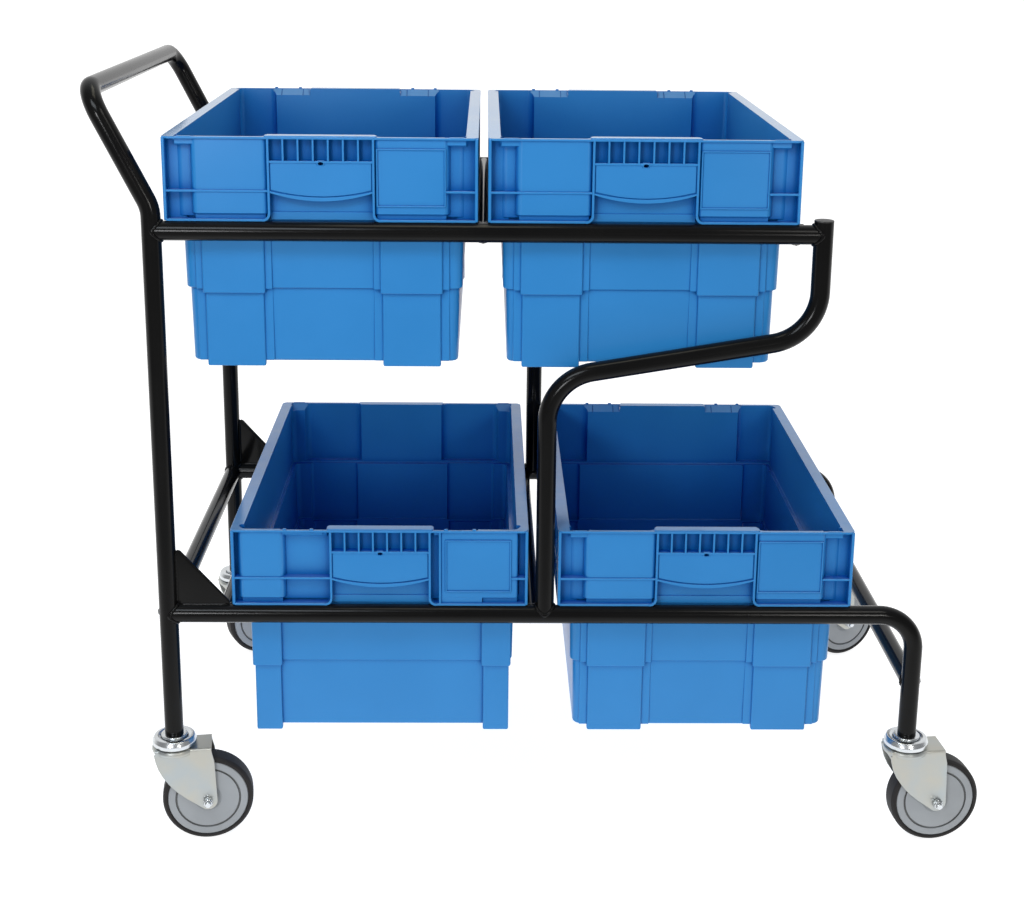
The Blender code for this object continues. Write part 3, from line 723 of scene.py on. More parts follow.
def make_side_frame(side, y, post_x, leg_x):
    """One side's rails and bracket with their welds, its cap and its corner plate."""
    tube_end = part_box("lower_rail_front")[0].z
    upper = middle_of("upper_rail_front")[2]
    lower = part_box("lower_rail_front")[1].z - tube_radius
    low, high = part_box("bracket_front")
    upright_x = low.x + tube_radius
    bracket_x = high.x - tube_radius
    bracket_top = high.z
    upper_run = ((post_x, y, upper), (bracket_x, y, upper))
    bent_tube(f"upper_tube_{side}", upper_run, (), f"upper_rail_{side}")
    lower_run = ((post_x, y, lower), (leg_x, y, lower), (leg_x, y, tube_end))
    bent_tube(f"lower_tube_{side}", lower_run, (bend_radius,), f"lower_rail_{side}")
    bracket_run = (
        (upright_x, y, lower),
        (upright_x, y, bracket_bend_heights[0]),
        (bracket_x, y, bracket_bend_heights[1]),
        (bracket_x, y, bracket_top),
    )
    bent_tube(f"bracket_tube_{side}", bracket_run, (bracket_bend_radius,) * 2, f"bracket_{side}")
    weld(f"weld_post_upper_{side}", (post_x, y, upper), (1, 0, 0), (0, 0, 1))
    weld(f"weld_post_lower_{side}", (post_x, y, lower), (1, 0, 0), (0, 0, 1))
    weld(f"weld_bracket_upper_{side}", (bracket_x, y, upper), (-1, 0, 0), (0, 0, 1))
    weld(f"weld_bracket_lower_{side}", (upright_x, y, lower), (0, 0, 1), (1, 0, 0))
    make_cap(side, (bracket_x, y, bracket_top))
    make_gusset(side, post_x, y, lower)


def make_cap(side, place):
    """The flat plastic cap on a bracket's top."""
    cap_top = seam_gap + cap_thickness
    profile = (
        (0, cap_top),
        (tube_radius, cap_top, 0.0009),
        (tube_radius, seam_gap, 0.0002),
        (tube_radius - cap_wall, seam_gap),
        (tube_radius - cap_wall, -cap_plug, 0.0004),
        (0, -cap_plug),
    )
    bm = turned(profile, 48)
    bmesh.ops.translate(bm, verts=bm.verts, vec=place)
    add_shape(f"cap_{side}", bm, "black_plastic", "frame", f"bracket_cap_{side}")


def make_gusset(side, post_x, y, lower):
    """The corner plate between the lower rail and the post, welded along both."""
    x = post_x + tube_radius + seam_gap
    z = lower + tube_radius + seam_gap
    length, height = gusset_size
    outline = (
        (x, z),
        (x + length, z),
        (x + length, z + gusset_tip),
        (x + gusset_tip, z + height),
        (x, z + height),
    )
    bm = bmesh.new()
    verts = [bm.verts.new((px, y - gusset_thickness / 2, pz)) for px, pz in outline]
    thickened(bm, verts, (0, gusset_thickness, 0))
    corners = [edge for edge in bm.edges if abs(edge.verts[0].co.y - edge.verts[1].co.y) > 0.001]
    bevel(bm, corners, 0.003, 3)
    rims = [edge for edge in bm.edges if abs(edge.verts[0].co.y - edge.verts[1].co.y) < 0.0001]
    bevel(bm, rims, 0.0006, 2)
    add_shape(f"corner_plate_{side}", bm, "black_paint", "frame", f"gusset_{side}")
    sink = 2 * seam_gap
    seam_weld(f"weld_plate_rail_{side}", Vector((x, y, z - sink)), Vector((1, 0, 0)), length)
    seam_weld(f"weld_plate_post_{side}", Vector((x - sink, y, z)), Vector((0, 0, 1)), height)


# Bins


def block(
    x_range, y_range, z_range,
    corner=0.0, corner_steps=5, edge=0.0004, edge_steps=1, taper=0.0, flare=0.0,
):
    """A box with rounded upright corners and slightly rounded edges.

    taper draws in its bottom; flare widens the side that is nearest to the middle of the bin."""
    bm = bmesh.new()
    bmesh.ops.create_cube(bm, size=1)
    inner = min(y_range, key=abs)
    for vert in bm.verts:
        draw = taper if vert.co.z < 0 else 0
        y = y_range[1] if vert.co.y > 0 else y_range[0]
        wider = flare if y == inner else 0
        x = x_range[1] - (draw - wider) if vert.co.x > 0 else x_range[0] + (draw - wider)
        y += -draw if vert.co.y > 0 else draw
        vert.co = (x, y, z_range[1] if vert.co.z > 0 else z_range[0])
    middle = sum(z_range) / 2
    if corner:
        upright = [e for e in bm.edges if (e.verts[0].co.z > middle) != (e.verts[1].co.z > middle)]
        bevel(bm, upright, corner, corner_steps)
    if edge:
        sharp = [e for e in bm.edges if e.calc_face_angle(0) > rounded_edge_angle]
        bevel(bm, sharp, edge, edge_steps)
    return bm


def below(drop):
    """A height given in millimetres below the rim."""
    return bin_rim - drop / 1000


def span(end, left, right):
    """The X range, in metres, of two places in millimetres from the left of an end as it is seen."""
    return tuple(sorted(-end * (place / 1000 - bin_width / 2) for place in (left, right)))


def depth(end, near, far):
    """The Y range between two insets in millimetres from an end's outer plane."""
    reach = bin_length / 2
    return tuple(sorted((end * (reach - near / 1000), end * (reach - far / 1000))))


def end_ranges(end, across, inward, drops):
    """The three ranges of a block on an end, from places in millimetres."""
    return span(end, *across), depth(end, *inward), tuple(below(drop) for drop in drops)


def plan(inset, end_inset=0.0):
    """The X and Y ranges of the bin's plan at an inset from its rim, more at its ends."""
    x = bin_width / 2 - inset
    y = bin_length / 2 - inset - end_inset
    return (-x, x), (-y, y)


class BlockShape:
    """Collects the solid and hollow blocks of a shape and joins them into one skin."""

    def __init__(self):
        self.solids = bpy.data.collections.new("solids")
        self.hollows = bpy.data.collections.new("hollows")
        for group in (self.solids, self.hollows):
            bpy.context.scene.collection.children.link(group)

    def put(self, group, bm):
        mesh = bpy.data.meshes.new("block")
        bmesh.ops.recalc_face_normals(bm, faces=bm.faces)
        bm.to_mesh(mesh)
        bm.free()
        item = bpy.data.objects.new("block", mesh)
        group.objects.link(item)
        return item

    def solid(self, bm):
        self.put(self.solids, bm)

    def hollow(self, bm):
        self.put(self.hollows, bm)

    def add(self, *ranges, **rounding):
        self.solid(block(*ranges, **rounding))

    def cut(self, *ranges, **rounding):
        self.hollow(block(*ranges, **rounding))

    def add_at(self, end, across, inward, drops, **rounding):
        """Adds a block on an end, whose drops are those of its bottom and its top."""
        self.add(*end_ranges(end, across, inward, drops), **rounding)

    def cut_at(self, end, across, inward, drops, **rounding):
        self.cut(*end_ranges(end, across, inward, drops), **rounding)

    def joined(self, start):
        item = self.put(bpy.context.scene.collection, start)
        for operation, group in (("UNION", self.solids), ("DIFFERENCE", self.hollows)):
            if not group.objects:
                continue
            change = item.modifiers.new(operation, "BOOLEAN")
            change.operation = operation
            change.operand_type = "COLLECTION"
            change.collection = group
            change.solver = "EXACT"
        bpy.context.view_layer.update()
        graph = bpy.context.evaluated_depsgraph_get()
        mesh = bpy.data.meshes.new_from_object(item.evaluated_get(graph))
        for other in (item, *self.solids.objects, *self.hollows.objects):
            bpy.data.objects.remove(other, do_unlink=True)
        for group in (self.solids, self.hollows):
            bpy.data.collections.remove(group)
        return mesh


def swept_bar(section, steps, place):
    """A bar: a ring of points carried along; place says where a point is at a share of the way."""
    bm = bmesh.new()
    ring = [bm.verts.new(place(0, point)) for point in section]
    for pair in zip(ring, ring[1:] + ring[:1]):
        bm.edges.new(pair)
    bmesh.ops.contextual_create(bm, geom=ring_edges(ring))
    for step in range(1, steps + 1):
        old = ring
        ring = extruded(bm, ring_edges(old))
        pairs = {vert: min(ring, key=lambda other: (other.co - vert.co).length) for vert in old}
        ring = [pairs[vert] for vert in old]
        for vert, point in zip(ring, section):
            vert.co = place(step / steps, point)
    bmesh.ops.contextual_create(bm, geom=ring_edges(ring))
    return bm


def end_point(end, across, inset, drop):
    """A point on an end, from places in millimetres."""
    x = -end * (across / 1000 - bin_width / 2)
    return (x, end * (bin_length / 2 - inset / 1000), bin_rim - drop / 1000)


def end_prism(end, near, far, section):
    """A bar across an end from one place to another, of a section of (inset, drop below the rim)."""

    def place(share, point):
        return end_point(end, near + (far - near) * share, *point)

    return swept_bar(section, 1, place)


def bin_mesh():
    """One bin on its feet at Z = 0, with end A towards -Y and end B towards +Y."""
    shape = BlockShape()
    rim = bin_rim
    # The rim, and the stepped walls from the floor up
    start = block(*plan(0), (rim - rim_thickness, rim), corner=rim_corner, edge=0.0006, corner_steps=7)
    stages = (
        # bottom, tops of the hollow and of the solid, inset, end inset, draft, edge
        (foot_drop, second_step, second_step + 0.002, lower_inset, end_wall_inset, wall_draft, 0.0035),
        (second_step, first_step, first_step + 0.002, middle_inset, end_wall_inset, wall_draft, 0.0020),
        (first_step, rim + 0.03, rim - 0.001, skirt_inset, 0, 0, 0.0012),
    )
    for low, inner_high, outer_high, inset, end_inset, draft, edge in stages:
        draws = {"corner_steps": 6, "taper": draft}
        outer = (*plan(inset, end_inset), (low, outer_high))
        shape.add(*outer, corner=body_corner_radius, edge=edge, edge_steps=3, **draws)
        inner = (*plan(inset + bin_wall, end_inset), (low + bin_wall, inner_high + 0.006))
        shape.cut(*inner, corner=body_corner_radius - bin_wall, edge=0.001, **draws)
    for end in (-1, 1):
        grip(shape, end)
        grip_sides(shape, end)
    end_a(shape)
    end_b(shape)
    columns(shape)
    side_ribs(shape)
    mesh = shape.joined(start)
    bm = bmesh.new()
    bm.from_mesh(mesh)
    bmesh.ops.remove_doubles(bm, verts=bm.verts, dist=merge_distance)
    bmesh.ops.dissolve_limit(bm, angle_limit=math.radians(0.5), verts=bm.verts, edges=bm.edges)
    bm.to_mesh(mesh)
    bm.free()
    return shaded(mesh)


def grip(shape, end):
    """The hand grip of an end, with the comb of pockets above it."""
    left, right = grip_span
    middle = (left + right) / 2
    lip = block(*end_ranges(end, (left - 4.6, right + 4.6), (0.9, 16.9), (1.9, -1.5)), edge=0)
    upright = [e for e in lip.edges if abs(e.verts[0].co.z - e.verts[1].co.z) > 0.001]
    bevel(lip, upright, 0.0034, 4)
    top = [e for e in lip.edges if all(vert.co.z > bin_rim + 0.001 for vert in e.verts)]
    bevel(lip, top, 0.0012, 3)
    shape.solid(lip)
    shape.add_at(end, (left + 0.4, right - 0.4), (0.9, 14), (33.2, 30.2))
    for place in range(1, pocket_count):
        x = left + (right - left) * place / pocket_count
        shape.add_at(end, (x - 1.25, x + 1.25), (0.7, 14.2), (31.5, 1.4))
    # The plate, its raised face, its hanging lip and the hole under the comb
    plate = ((3.4, 31), (6.4, 31), (6.4, 69), (3.4, 69))
    shape.solid(hanging(end, left, right, plate, 8.5))
    raised = ((2.2, 32), (4.4, 32), (4.4, 67), (2.2, 67))
    shape.solid(hanging(end, left + 3, right - 3, raised, 8.5))
    crescent = ((0.9, 68.6), (6.5, 68.6), (6.5, 70.7), (0.9, 70.7))
    shape.solid(hanging(end, left + 0.2, right - 0.2, crescent, 10.8, 8.0))
    # The wall under the grip, a little proud of the one behind the crescent
    shape.add_at(end, (left + 0.3, right - 0.3), (11.7, 16.3), (skirt_drop - 0.5, 96.8), edge=0.0006)
    shape.add_at(end, (middle - 5.5, middle + 5.5), (0.8, 8), (36.5, 29.5), edge=0.0015)
    hole = bmesh.new()
    bmesh.ops.create_cone(hole, cap_ends=True, segments=20, radius1=0.0021, radius2=0.0021, depth=0.03)
    lying = Matrix.Rotation(math.pi / 2, 3, "X")
    bmesh.ops.rotate(hole, verts=hole.verts, cent=(0, 0, 0), matrix=lying)
    bmesh.ops.scale(hole, verts=hole.verts, vec=(1.7, 0.7, 1))
    bmesh.ops.translate(hole, verts=hole.verts, vec=end_point(end, middle, 4.5, 33.5))
    shape.hollow(hole)


def grip_sides(shape, end):
    """The ribs beside the grip, which turn into the flange, the rest of the flange and the corners."""
    left, right = grip_span
    for x, outward in ((left, -1), (right, 1)):
        shape.add_at(end, (x - 1.5, x + 1.5), (0.5, 14.4), (skirt_drop - 8.8, 1.2))
        shape.solid(flange_turn(end, x, outward))
    for across in ((3.2, left - 8.6), (right + 8.6, 396.8)):
        shape.add_at(end, across, (0.3, 14.6), (skirt_drop, skirt_drop - 3.2), edge=0.0005)
    # The corner plates, with the webs that close them behind
    for near, far, inner in ((0.5, 4.4, 27), (399.5, 395.6, 373)):
        shape.add_at(end, (near, far), (0.5, 17.2), (skirt_drop - 0.8, 0.9), edge=0.0008)
        shape.add_at(end, (near + (far - near) / 3, inner), (14.9, 17.6), (skirt_drop - 1, 1.1))


def hanging(end, left, right, section, sag, thin=0.0):
    """A bar across the grip whose lower edge hangs in a curve; its section is (inset, drop)."""
    middle_drop = (min(point[1] for point in section) + max(point[1] for point in section)) / 2

    def place(share, point):
        swell = 4 * share * (1 - share)
        drop = point[1] + (sag if point[1] > middle_drop else thin) * swell
        return end_point(end, left + (right - left) * share, point[0], drop)

    return swept_bar(section, 24, place)


def flange_turn(end, x, outward):
    """The quarter round that joins a grip rib to the flange."""
    radius = 0.010
    thickness = 0.0031
    direction = -end * outward
    side = -end * (x / 1000 - bin_width / 2)
    centre = (side + direction * (radius - 0.0015), skirt_bottom + radius)
    section = ((0.4, radius), (14.5, radius), (14.5, radius - thickness), (0.4, radius - thickness))

    def place(share, point):
        angle = math.radians(-3) + math.radians(96) * share
        across = centre[0] - direction * point[1] * math.cos(angle)
        height = centre[1] - point[1] * math.sin(angle)
        return (across, end * (bin_length / 2 - point[0] / 1000), height)

    return swept_bar(section, 9, place)


def ledge(shape, end, near, far, tab_bottom, tab, cut):
    """The sloping ledge inside the rim where the wall behind it stands back.

    tab is the span of the tab under it; cut is how much further its slope runs at either end, to
    meet the recess beside it."""
    lip = 3.6
    shape.add_at(end, tab, (4.2, 13.6), (tab_bottom, 1.6), edge=0.0006)
    shell = ((lip, 0.9), (14.8, 0.9), (14.8, 12.4), (12.2, 12.4), (lip + 1, 4.6))
    shape.solid(end_prism(end, near, far, shell))
    slope = ((lip, -4), (lip, 0.4), (5.2, 1.6), (16.2, 9.6), (19, 9.8), (19, -4))
    shape.hollow(end_prism(end, near - cut[0], far + cut[1], slope))


def end_a(shape):
    """The end with a plain panel on its left and a panel with a label frame on its right."""
    end = -1
    for near, far in ((39, 130.5), (270, 360)):
        panel = ((near, far), (2.6, panel_back), (99.4, 1.3))
        shape.add_at(end, *panel, corner=0.0045, edge=0.0018, flare=0.0055)
        hollow = ((near + 2.6, far - 2.6), (5.4, hollow_back), hollow_drops)
        shape.cut_at(end, *hollow, corner=0.006, corner_steps=6, flare=0.0085)
        shape.add_at(end, (near + 1, far - 1), (6, 14.2), (skirt_drop - 1.8, 98))
    label_frame(shape, end, (270.6, 358.6), (14, 88.6), 2.6)
    for across in ((3, 133.6), (358.8, 397)):
        shape.add_at(end, across, (1.0, 14.1), level_rib_drops)
    for near, far, cut in ((15.5, 41.2, (0, 0.9)), (358.8, 384.5, (1.9, 0))):
        ledge(shape, end, near, far, 10, (near + 1, far), cut)
        shape.add_at(end, (near + 4, far - 3), (0.8, 3.4), (1, -0.7))


def end_b(shape):
    """The end with a corner column on its left and a wide panel with a label frame on its right."""
    end = 1
    shape.add_at(end, (12.4, 69), (2.6, panel_back), (99, 1.3), corner=0.005, edge=0.0020, flare=0.0055)
    shape.add_at(end, (280, 386), (3.4, panel_back), (98.6, 1.3), corner=0.004, edge=0.0016)
    shape.add_at(end, (281, 338), (3.5, panel_back), (skirt_drop - 1, 90), corner=0.001)
    for across in ((13.6, 68), (339, 385)):
        shape.add_at(end, across, (6.6, 14.2), (skirt_drop - 1.8, 98))
    for across in ((15.4, 68.5), (330.4, 384)):
        hollow = (across, (6.2, hollow_back), hollow_drops)
        shape.cut_at(end, *hollow, corner=0.006, corner_steps=6, flare=0.0075)
    label_frame(shape, end, (288, 377), (14, 89), 3.4)
    shape.add_at(end, (279.4, 282.2), (0.9, 14.3), (skirt_drop - 1.2, 1.1))
    for across in ((3, 133.6), (377, 397)):
        shape.add_at(end, across, (1.0, 14.1), level_rib_drops)
    ledge(shape, end, 68, 128.9, 7.6, (69, 124), (1.2, 0))
    ledge(shape, end, 272.1, 331, 7.6, (273, 281), (0, 1.2))
    groove = ((4.6, -3), (4.6, 1.9), (5.2, 3.0), (15.6, 10.7), (17, 10.7), (17, -3))
    for places, bar in (((83, 117), (88, 127)), ((283, 317), (274, 313))):
        for place in places:
            shape.hollow(end_prism(end, place, place + 1.6, groove))
        shape.add_at(end, bar, (14, 18.4), (13.6, 11.4))
    for place in (73, 109, 289, 327):
        shape.add_at(end, (place - 2.4, place + 2.4), (0.9, 3.4), (1, -1.9))


def label_frame(shape, end, across, drops, inset):
    """The thin raised frame round a label field."""
    line = 1.9
    left, right = across
    top, bottom = drops
    for near, far, upper, lower, proud in (
        (left, left + line, top + 0.4, bottom - 0.4, 1.70),
        (right - line, right, top + 0.4, bottom - 0.4, 1.70),
        (left + 0.3, right - 0.3, top, top + line, 1.76),
        (left + 0.3, right - 0.3, bottom - line, bottom, 1.76),
    ):
        shape.add_at(end, (near, far), (inset - proud, inset + 2), (lower, upper))


def columns(shape):
    """The hollow columns that stand proud of the end walls and end in the feet."""
    low_step = second_step - column_step_drop
    root = 4
    hollow_root = 7
    overlap = 0.0024
    hollow_overlap = 0.0066
    lower_end = lower_inset + end_wall_inset + wall_draft
    middle_end = middle_inset + end_wall_inset + wall_draft
    stages = ((0, low_step, lower_end, 0.004, 2.4), (low_step, first_step, middle_end, 0.0025, 0))
    for end, pairs in ((-1, ((43, 124), (273, 354))), (1, ((22.4, 63), (337, 377.6)))):
        for near, far in pairs:
            for low, high, inset, edge, narrow in stages:
                face = (inset - column_proud) * 1000
                x_range = span(end, near + narrow, far - narrow)
                y_range = depth(end, face, inset * 1000 + root)
                rounding = {"corner": 0.0025, "edge": edge, "edge_steps": 2, "corner_steps": 3}
                shape.add(x_range, y_range, (low, high + overlap), **rounding)
                inner_x = (x_range[0] + bin_wall, x_range[1] - bin_wall)
                inner_y = depth(end, face + 1000 * bin_wall, inset * 1000 + hollow_root)
                z_range = (low + bin_wall, high + hollow_overlap)
                shape.cut(inner_x, inner_y, z_range, corner=0.0035, edge=0, corner_steps=4, flare=0.004)
            if end < 0:
                column_strips(shape, end, span(end, near - 9, far + 9), middle_end, lower_end)


def column_strips(shape, end, x_range, middle_end, lower_end):
    """The strips beside a column, half as proud."""
    for inset, proud, z_range in (
        (middle_end, 2.6, (second_step - 0.001, first_step + 0.0016)),
        (lower_end, 2.4, (foot_drop + 0.001, second_step - 0.0004)),
    ):
        y_range = depth(end, inset * 1000 - proud, inset * 1000 + 1)
        shape.add(x_range, y_range, z_range, corner=0.0015, edge=0.0012)


def side_ribs(shape):
    """The ribs, the level rib and the flange of the long sides."""
    for side in (-1, 1):

        def across(near, far):
            return tuple(sorted(side * (bin_width / 2 - inset / 1000) for inset in (near, far)))

        for place in range(1, side_rib_count + 1):
            y = (place / (side_rib_count + 1) - 0.5) * bin_length
            y_range = (y - rib_thickness / 2, y + rib_thickness / 2)
            shape.add(across(0.9, 14.3), y_range, (skirt_bottom + 0.0012, below(1.3)))
        length = (-bin_length / 2 + 0.0034, bin_length / 2 - 0.0034)
        shape.add(across(1.1, 14.1), length, tuple(below(drop) for drop in level_rib_drops))
        flange_range = (skirt_bottom + 0.0001, skirt_bottom + 0.0031)
        shape.add(across(0.4, 14.6), length, flange_range, edge=0.0005)


def make_bins():
    shared = bin_mesh()
    for label in ("upper_left", "upper_right", "lower_left", "lower_right"):
        x, y = middle_of(f"bin_{label}")[:2]
        turn = math.pi if label == "lower_left" else 0
        mesh = shared.copy()
        place = Matrix.Translation((x, y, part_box(f"bin_{label}")[0].z))
        mesh.transform(place @ Matrix.Rotation(turn, 4, "Z"))
        add_even_piece(f"container_{label}", mesh, "blue_plastic", f"{label}_bin", f"bin_{label}")


# Castors, each with its swivel axis on Z and its axle towards +X


def make_castor(label):
    pivot = Vector((*middle_of(f"castor_stem_{label}")[:2], 0))
    away = Vector(middle_of(f"wheel_core_{label}")) - pivot
    castor = Matrix.Translation(pivot) @ Matrix.Rotation(math.atan2(away.y, away.x), 4, "Z")
    on_axle = castor @ axle_turn()
    swivel = f"{label}_castor"
    wheel = f"{label}_wheel"
    for name, bm, finish, place, body, node_name in (
        ("stem", stem_shape(), "bright_zinc", Matrix.Translation(pivot), "frame", "castor_stem"),
        ("head", head_shape(), "bright_zinc", castor, swivel, "castor_head"),
        ("bolt", bolt_shape(), "bright_zinc", on_axle, swivel, "axle_bolt"),
        ("nut", nut_shape(), "bright_zinc", on_axle, swivel, "axle_nut"),
        ("wheel", wheel_shape(), "grey_plastic", on_axle, wheel, "wheel_core"),
        ("rubber", tyre_shape(), "black_rubber", on_axle, wheel, "tyre"),
    ):
        bmesh.ops.transform(bm, matrix=place, verts=bm.verts)
        add_shape(f"{name}_{label}", bm, finish, body, f"{node_name}_{label}")
    mesh = fork_shape()
    mesh.transform(castor)
    add_even_piece(f"fork_{label}", mesh, "zinc", swivel, f"castor_fork_{label}")
    for name in (f"ball_ring_{label}", f"axle_bush_{label}"):
        for slot in frame["nodes"][name].material_slots:
            slot.material = finishes["bearing_steel"]


def axle_turn():
    """Lays a shape that was turned about Z on the axle."""
    return Matrix.Translation((castor_trail, 0, wheel_radius)) @ Matrix.Rotation(math.pi / 2, 4, "X")


def disc(radius, high, low, steps):
    return turned(((0, high), (radius, high), (radius, low), (0, low)), steps)


def stem_shape():
    """The fixed pin: a plug in the tube, a collar under it and a riveted shaft."""
    return turned(
        (
            (0, 0.214),
            (0.0098, 0.214, 0.002),
            (0.0098, 0.1587),
            (0.0180, 0.1587, 0.0012),
            (0.0180, 0.1526, 0.0008),
            (0.0060, 0.1526),
            (0.0060, 0.1392),
            (0.0110, 0.1392, 0.0006),
            (0.0096, 0.1362, 0.0010),
            (0, 0.1362),
        )
    )


def head_shape():
    """The bearing cup: a high rounded ring whose top dips towards the stem."""
    profile = (
        (0.0200, 0.1556, 0.0008),
        (0.0228, 0.1568, 0.0008),
        (0.0272, 0.1566, 0.0030),
        (0.0306, 0.1502, 0.0045),
        (0.0298, 0.1450, 0.0020),
        (0.0276, 0.1428, 0.0005),
        (0.0066, 0.1428),
        (0.0066, 0.1460),
        (0.0187, 0.1460),
        (0.0187, 0.1550, 0.0005),
    )
    return turned(profile, 72, 6)


def hexagon(bm, low, high, chamfer):
    """A hexagon prism along Z with its edges taken off, as on a nut."""
    made = bmesh.ops.create_cone(
        bm, cap_ends=True, segments=6, radius1=nut_radius, radius2=nut_radius, depth=high - low
    )["verts"]
    bmesh.ops.translate(bm, verts=made, vec=(0, 0, (low + high) / 2))
    bevel(bm, list({edge for vert in made for edge in vert.link_edges}), chamfer, 2)


def bolt_shape():
    """The axle bolt with its hexagon head."""
    bm = turned(((0, -0.0254), (0.004, -0.0254), (0.004, 0.0353, 0.0008), (0, 0.0353)), 24)
    hexagon(bm, -0.0281, -0.0228, 0.0007)
    return bm


def nut_shape():
    """The axle nut, with a washer face and a rounded collar."""
    bore = axle_bore_radius
    bm = turned(((bore, 0.0262), (bore, 0.0312), (0.0058, 0.0308, 0.0014), (0.0066, 0.0262)), 32)
    hexagon(bm, 0.0228, 0.0285, 0.0012)
    return bm


def wheel_shape():
    """The moulded wheel centre: a flat disc with a groove, a raised rim line and its hub."""
    half = 0.0145
    face = (
        (0.0550, half - 0.0012, 0.0010),
        (0.0540, half, 0.0005),
        (0.0450, half, 0.0004),
        (0.0446, half - 0.0026, 0.0004),
        (0.0426, half - 0.0026, 0.0004),
        (0.0422, half, 0.0004),
        (0.0190, half, 0.0010),
        (0.0165, half - 0.0010, 0.0010),
        (0.0135, half - 0.0010, 0.0006),
        (0.0135, 0.0185, 0.0006),
        (0.0065, 0.0185),
    )
    return turned((*face, *mirrored(face)), 96, 3)


def mirrored(points):
    """The mirror image of a profile on the other side of the wheel's middle."""
    return tuple((point[0], -point[1], *point[2:]) for point in reversed(points))


def tyre_shape():
    """The tyre: rounded shoulders and a slightly crowned tread."""
    half = 0.0155
    shoulder = (
        (0.0553, half - 0.0008, 0.0005),
        (0.0570, half, 0.0006),
        (0.0592, half - 0.0004, 0.0010),
        (0.0622, half - 0.0042, 0.0036),
    )
    return turned((*shoulder, (wheel_radius, 0), *mirrored(shoulder)), 96, 5)


def fork_sides():
    """The two side plates of the fork."""
    top = fork_crown - 0.006
    rake = ((-0.0262, 0.016), (-0.0228, 0.028), (-0.0170, 0.040), (-0.0090, 0.052), (0.0015, 0.064))
    outline = [(-0.0278, top), *((x, fork_crown - drop) for x, drop in rake)]
    outline += [(0.0150, fork_crown - 0.0755), (0.0270, fork_crown - 0.0840)]
    tip_steps = 11
    for step in range(tip_steps + 1):
        angle = math.radians(243) + math.radians(117) * step / tip_steps
        tip = (castor_trail + fork_tip * math.cos(angle), wheel_radius + fork_tip * math.sin(angle))
        outline.append(tip)
    outline += [(0.0535, fork_crown - 0.020), (0.0505, fork_crown - 0.008), (0.0503, top)]
    bm = bmesh.new()
    for side in (-1, 1):
        verts = [bm.verts.new((x, side * fork_half, z)) for x, z in outline]
        thickened(bm, verts, (0, -side * fork_plate, 0))
    bmesh.ops.recalc_face_normals(bm, faces=bm.faces)
    rims = [edge for edge in bm.edges if abs(edge.verts[0].co.y - edge.verts[1].co.y) < 0.0001]
    bevel(bm, rims, 0.0007, 2)
    return bm


def fork_shape():
    """The pressed fork: side plates, bent crown and round bearing seat joined into one skin."""
    crown = fork_crown
    shape = BlockShape()
    bend = block((-0.0262, 0.0500), (-0.02256, 0.02256), (crown - 0.012, crown), edge=0)
    top = [e for e in bend.edges if all(vert.co.z > crown - 0.001 for vert in e.verts)]
    lengthwise = [e for e in top if abs(e.verts[0].co.y - e.verts[1].co.y) < 0.001]
    bevel(bend, lengthwise, 0.0034, 5)
    shape.solid(bend)
    shape.cut((-0.0259, 0.0600), (-0.0194, 0.0194), (crown - 0.030, crown - fork_plate), edge=0.0008)
    shape.solid(disc(0.0280, crown - 0.0001, crown - 0.0028, 72))
    ring = (
        (0.0230, crown - 0.0004),
        (0.0302, crown - 0.0004, 0.0018),
        (0.0314, crown - 0.0042, 0.0030),
        (0.0302, crown - 0.0084, 0.0018),
        (0.0230, crown - 0.0084),
    )
    shape.solid(turned(ring, 72))
    shape.hollow(disc(0.0066, crown + 0.01, crown - 0.01, 32))
    axle_bore = disc(axle_bore_radius, 0.05, -0.05, 24)
    bmesh.ops.transform(axle_bore, matrix=axle_turn(), verts=axle_bore.verts)
    shape.hollow(axle_bore)
    return shaded(shape.joined(fork_sides()))


# Studio


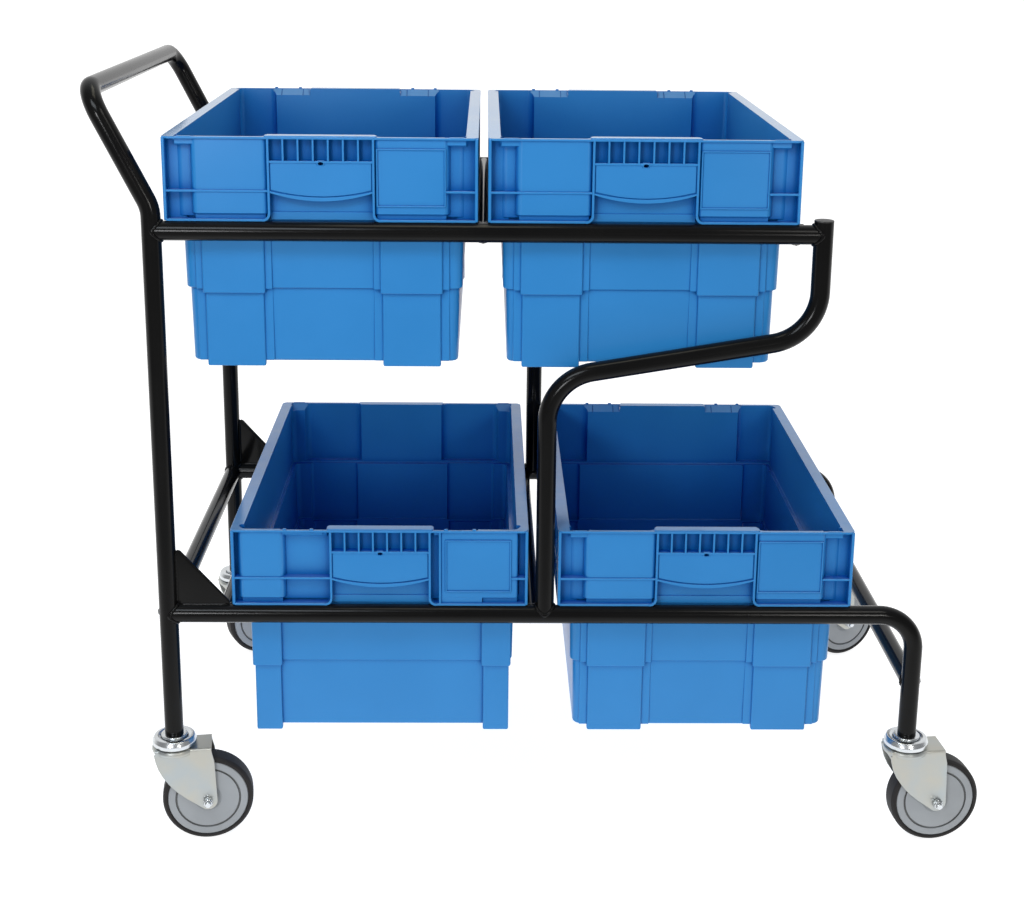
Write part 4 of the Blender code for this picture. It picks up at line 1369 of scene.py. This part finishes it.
def make_studio():
    """A pale floor that is white under and behind the trolley, lamps and the room's light."""
    bm = bmesh.new()
    bmesh.ops.create_grid(bm, x_segments=1, y_segments=1, size=60)
    mesh = bpy.data.meshes.new("studio_floor")
    bm.to_mesh(mesh)
    bm.free()
    mesh.materials.append(floor_material())
    floor = bpy.data.objects.new("studio_floor", mesh)
    bpy.context.scene.collection.objects.link(floor)
    make_room_light()
    for name, (place, aim, size, watts, colour) in lamps.items():
        data = bpy.data.lights.new(name, "AREA")
        data.shape = "RECTANGLE"
        data.size, data.size_y = size
        data.energy = watts
        data.color = colour
        lamp = bpy.data.objects.new(name, data)
        aimed = (Vector(aim) - Vector(place)).to_track_quat("-Z", "Y").to_matrix().to_4x4()
        lamp.matrix_world = Matrix.Translation(place) @ aimed
        bpy.context.scene.collection.objects.link(lamp)


def floor_material():
    material = bpy.data.materials.new("studio_floor")
    material.use_nodes = True
    tree = material.node_tree
    shader = tree.nodes["Principled BSDF"]
    shader.inputs["Roughness"].default_value = 0.9
    shader.inputs["Specular IOR Level"].default_value = 0.2
    shader.inputs["Emission Strength"].default_value = 0.85
    sheet = along_y(tree, "Object", -1.4, -0.6)
    link(tree, mix_colours(tree, sheet, (0.36,) * 3, (0.55,) * 3), shader.inputs["Base Color"])
    link(tree, mix_colours(tree, sheet, (0.16,) * 3, (1.0,) * 3), shader.inputs["Emission Color"])
    return material


def along_y(tree, coordinates, low, high):
    """Spreads low..high along Y to 0..1."""
    parts = node(tree, "ShaderNodeSeparateXYZ")
    link(tree, node(tree, "ShaderNodeTexCoord").outputs[coordinates], parts.inputs[0])
    return ramp(tree, parts.outputs["Y"], low, high)


def make_room_light():
    """A room that is white behind the trolley and dimmer on the camera's side."""
    world = bpy.data.worlds.new("studio")
    world.use_nodes = True
    tree = world.node_tree
    behind = along_y(tree, "Generated", -0.10, 0.40)
    colour = mix_colours(tree, behind, (0.30, 0.30, 0.305), (1.0, 1.0, 1.0))
    link(tree, colour, tree.nodes["Background"].inputs["Color"])
    bpy.context.scene.world = world


groups = {
    "edge_wear": edge_wear_group(),
    "grain": grain_group(),
    "dust_and_sheen": dust_and_sheen_group(),
    "painted_shade": painted_shade_group(),
    "upward": upward_group(),
}
finishes = make_finishes()
make_camera()
make_studio()
make_frame()
make_bins()
for castor_label in ("front_left", "back_left", "front_right", "back_right"):
    make_castor(castor_label)

bpy.context.scene.view_settings.view_transform = "Standard"
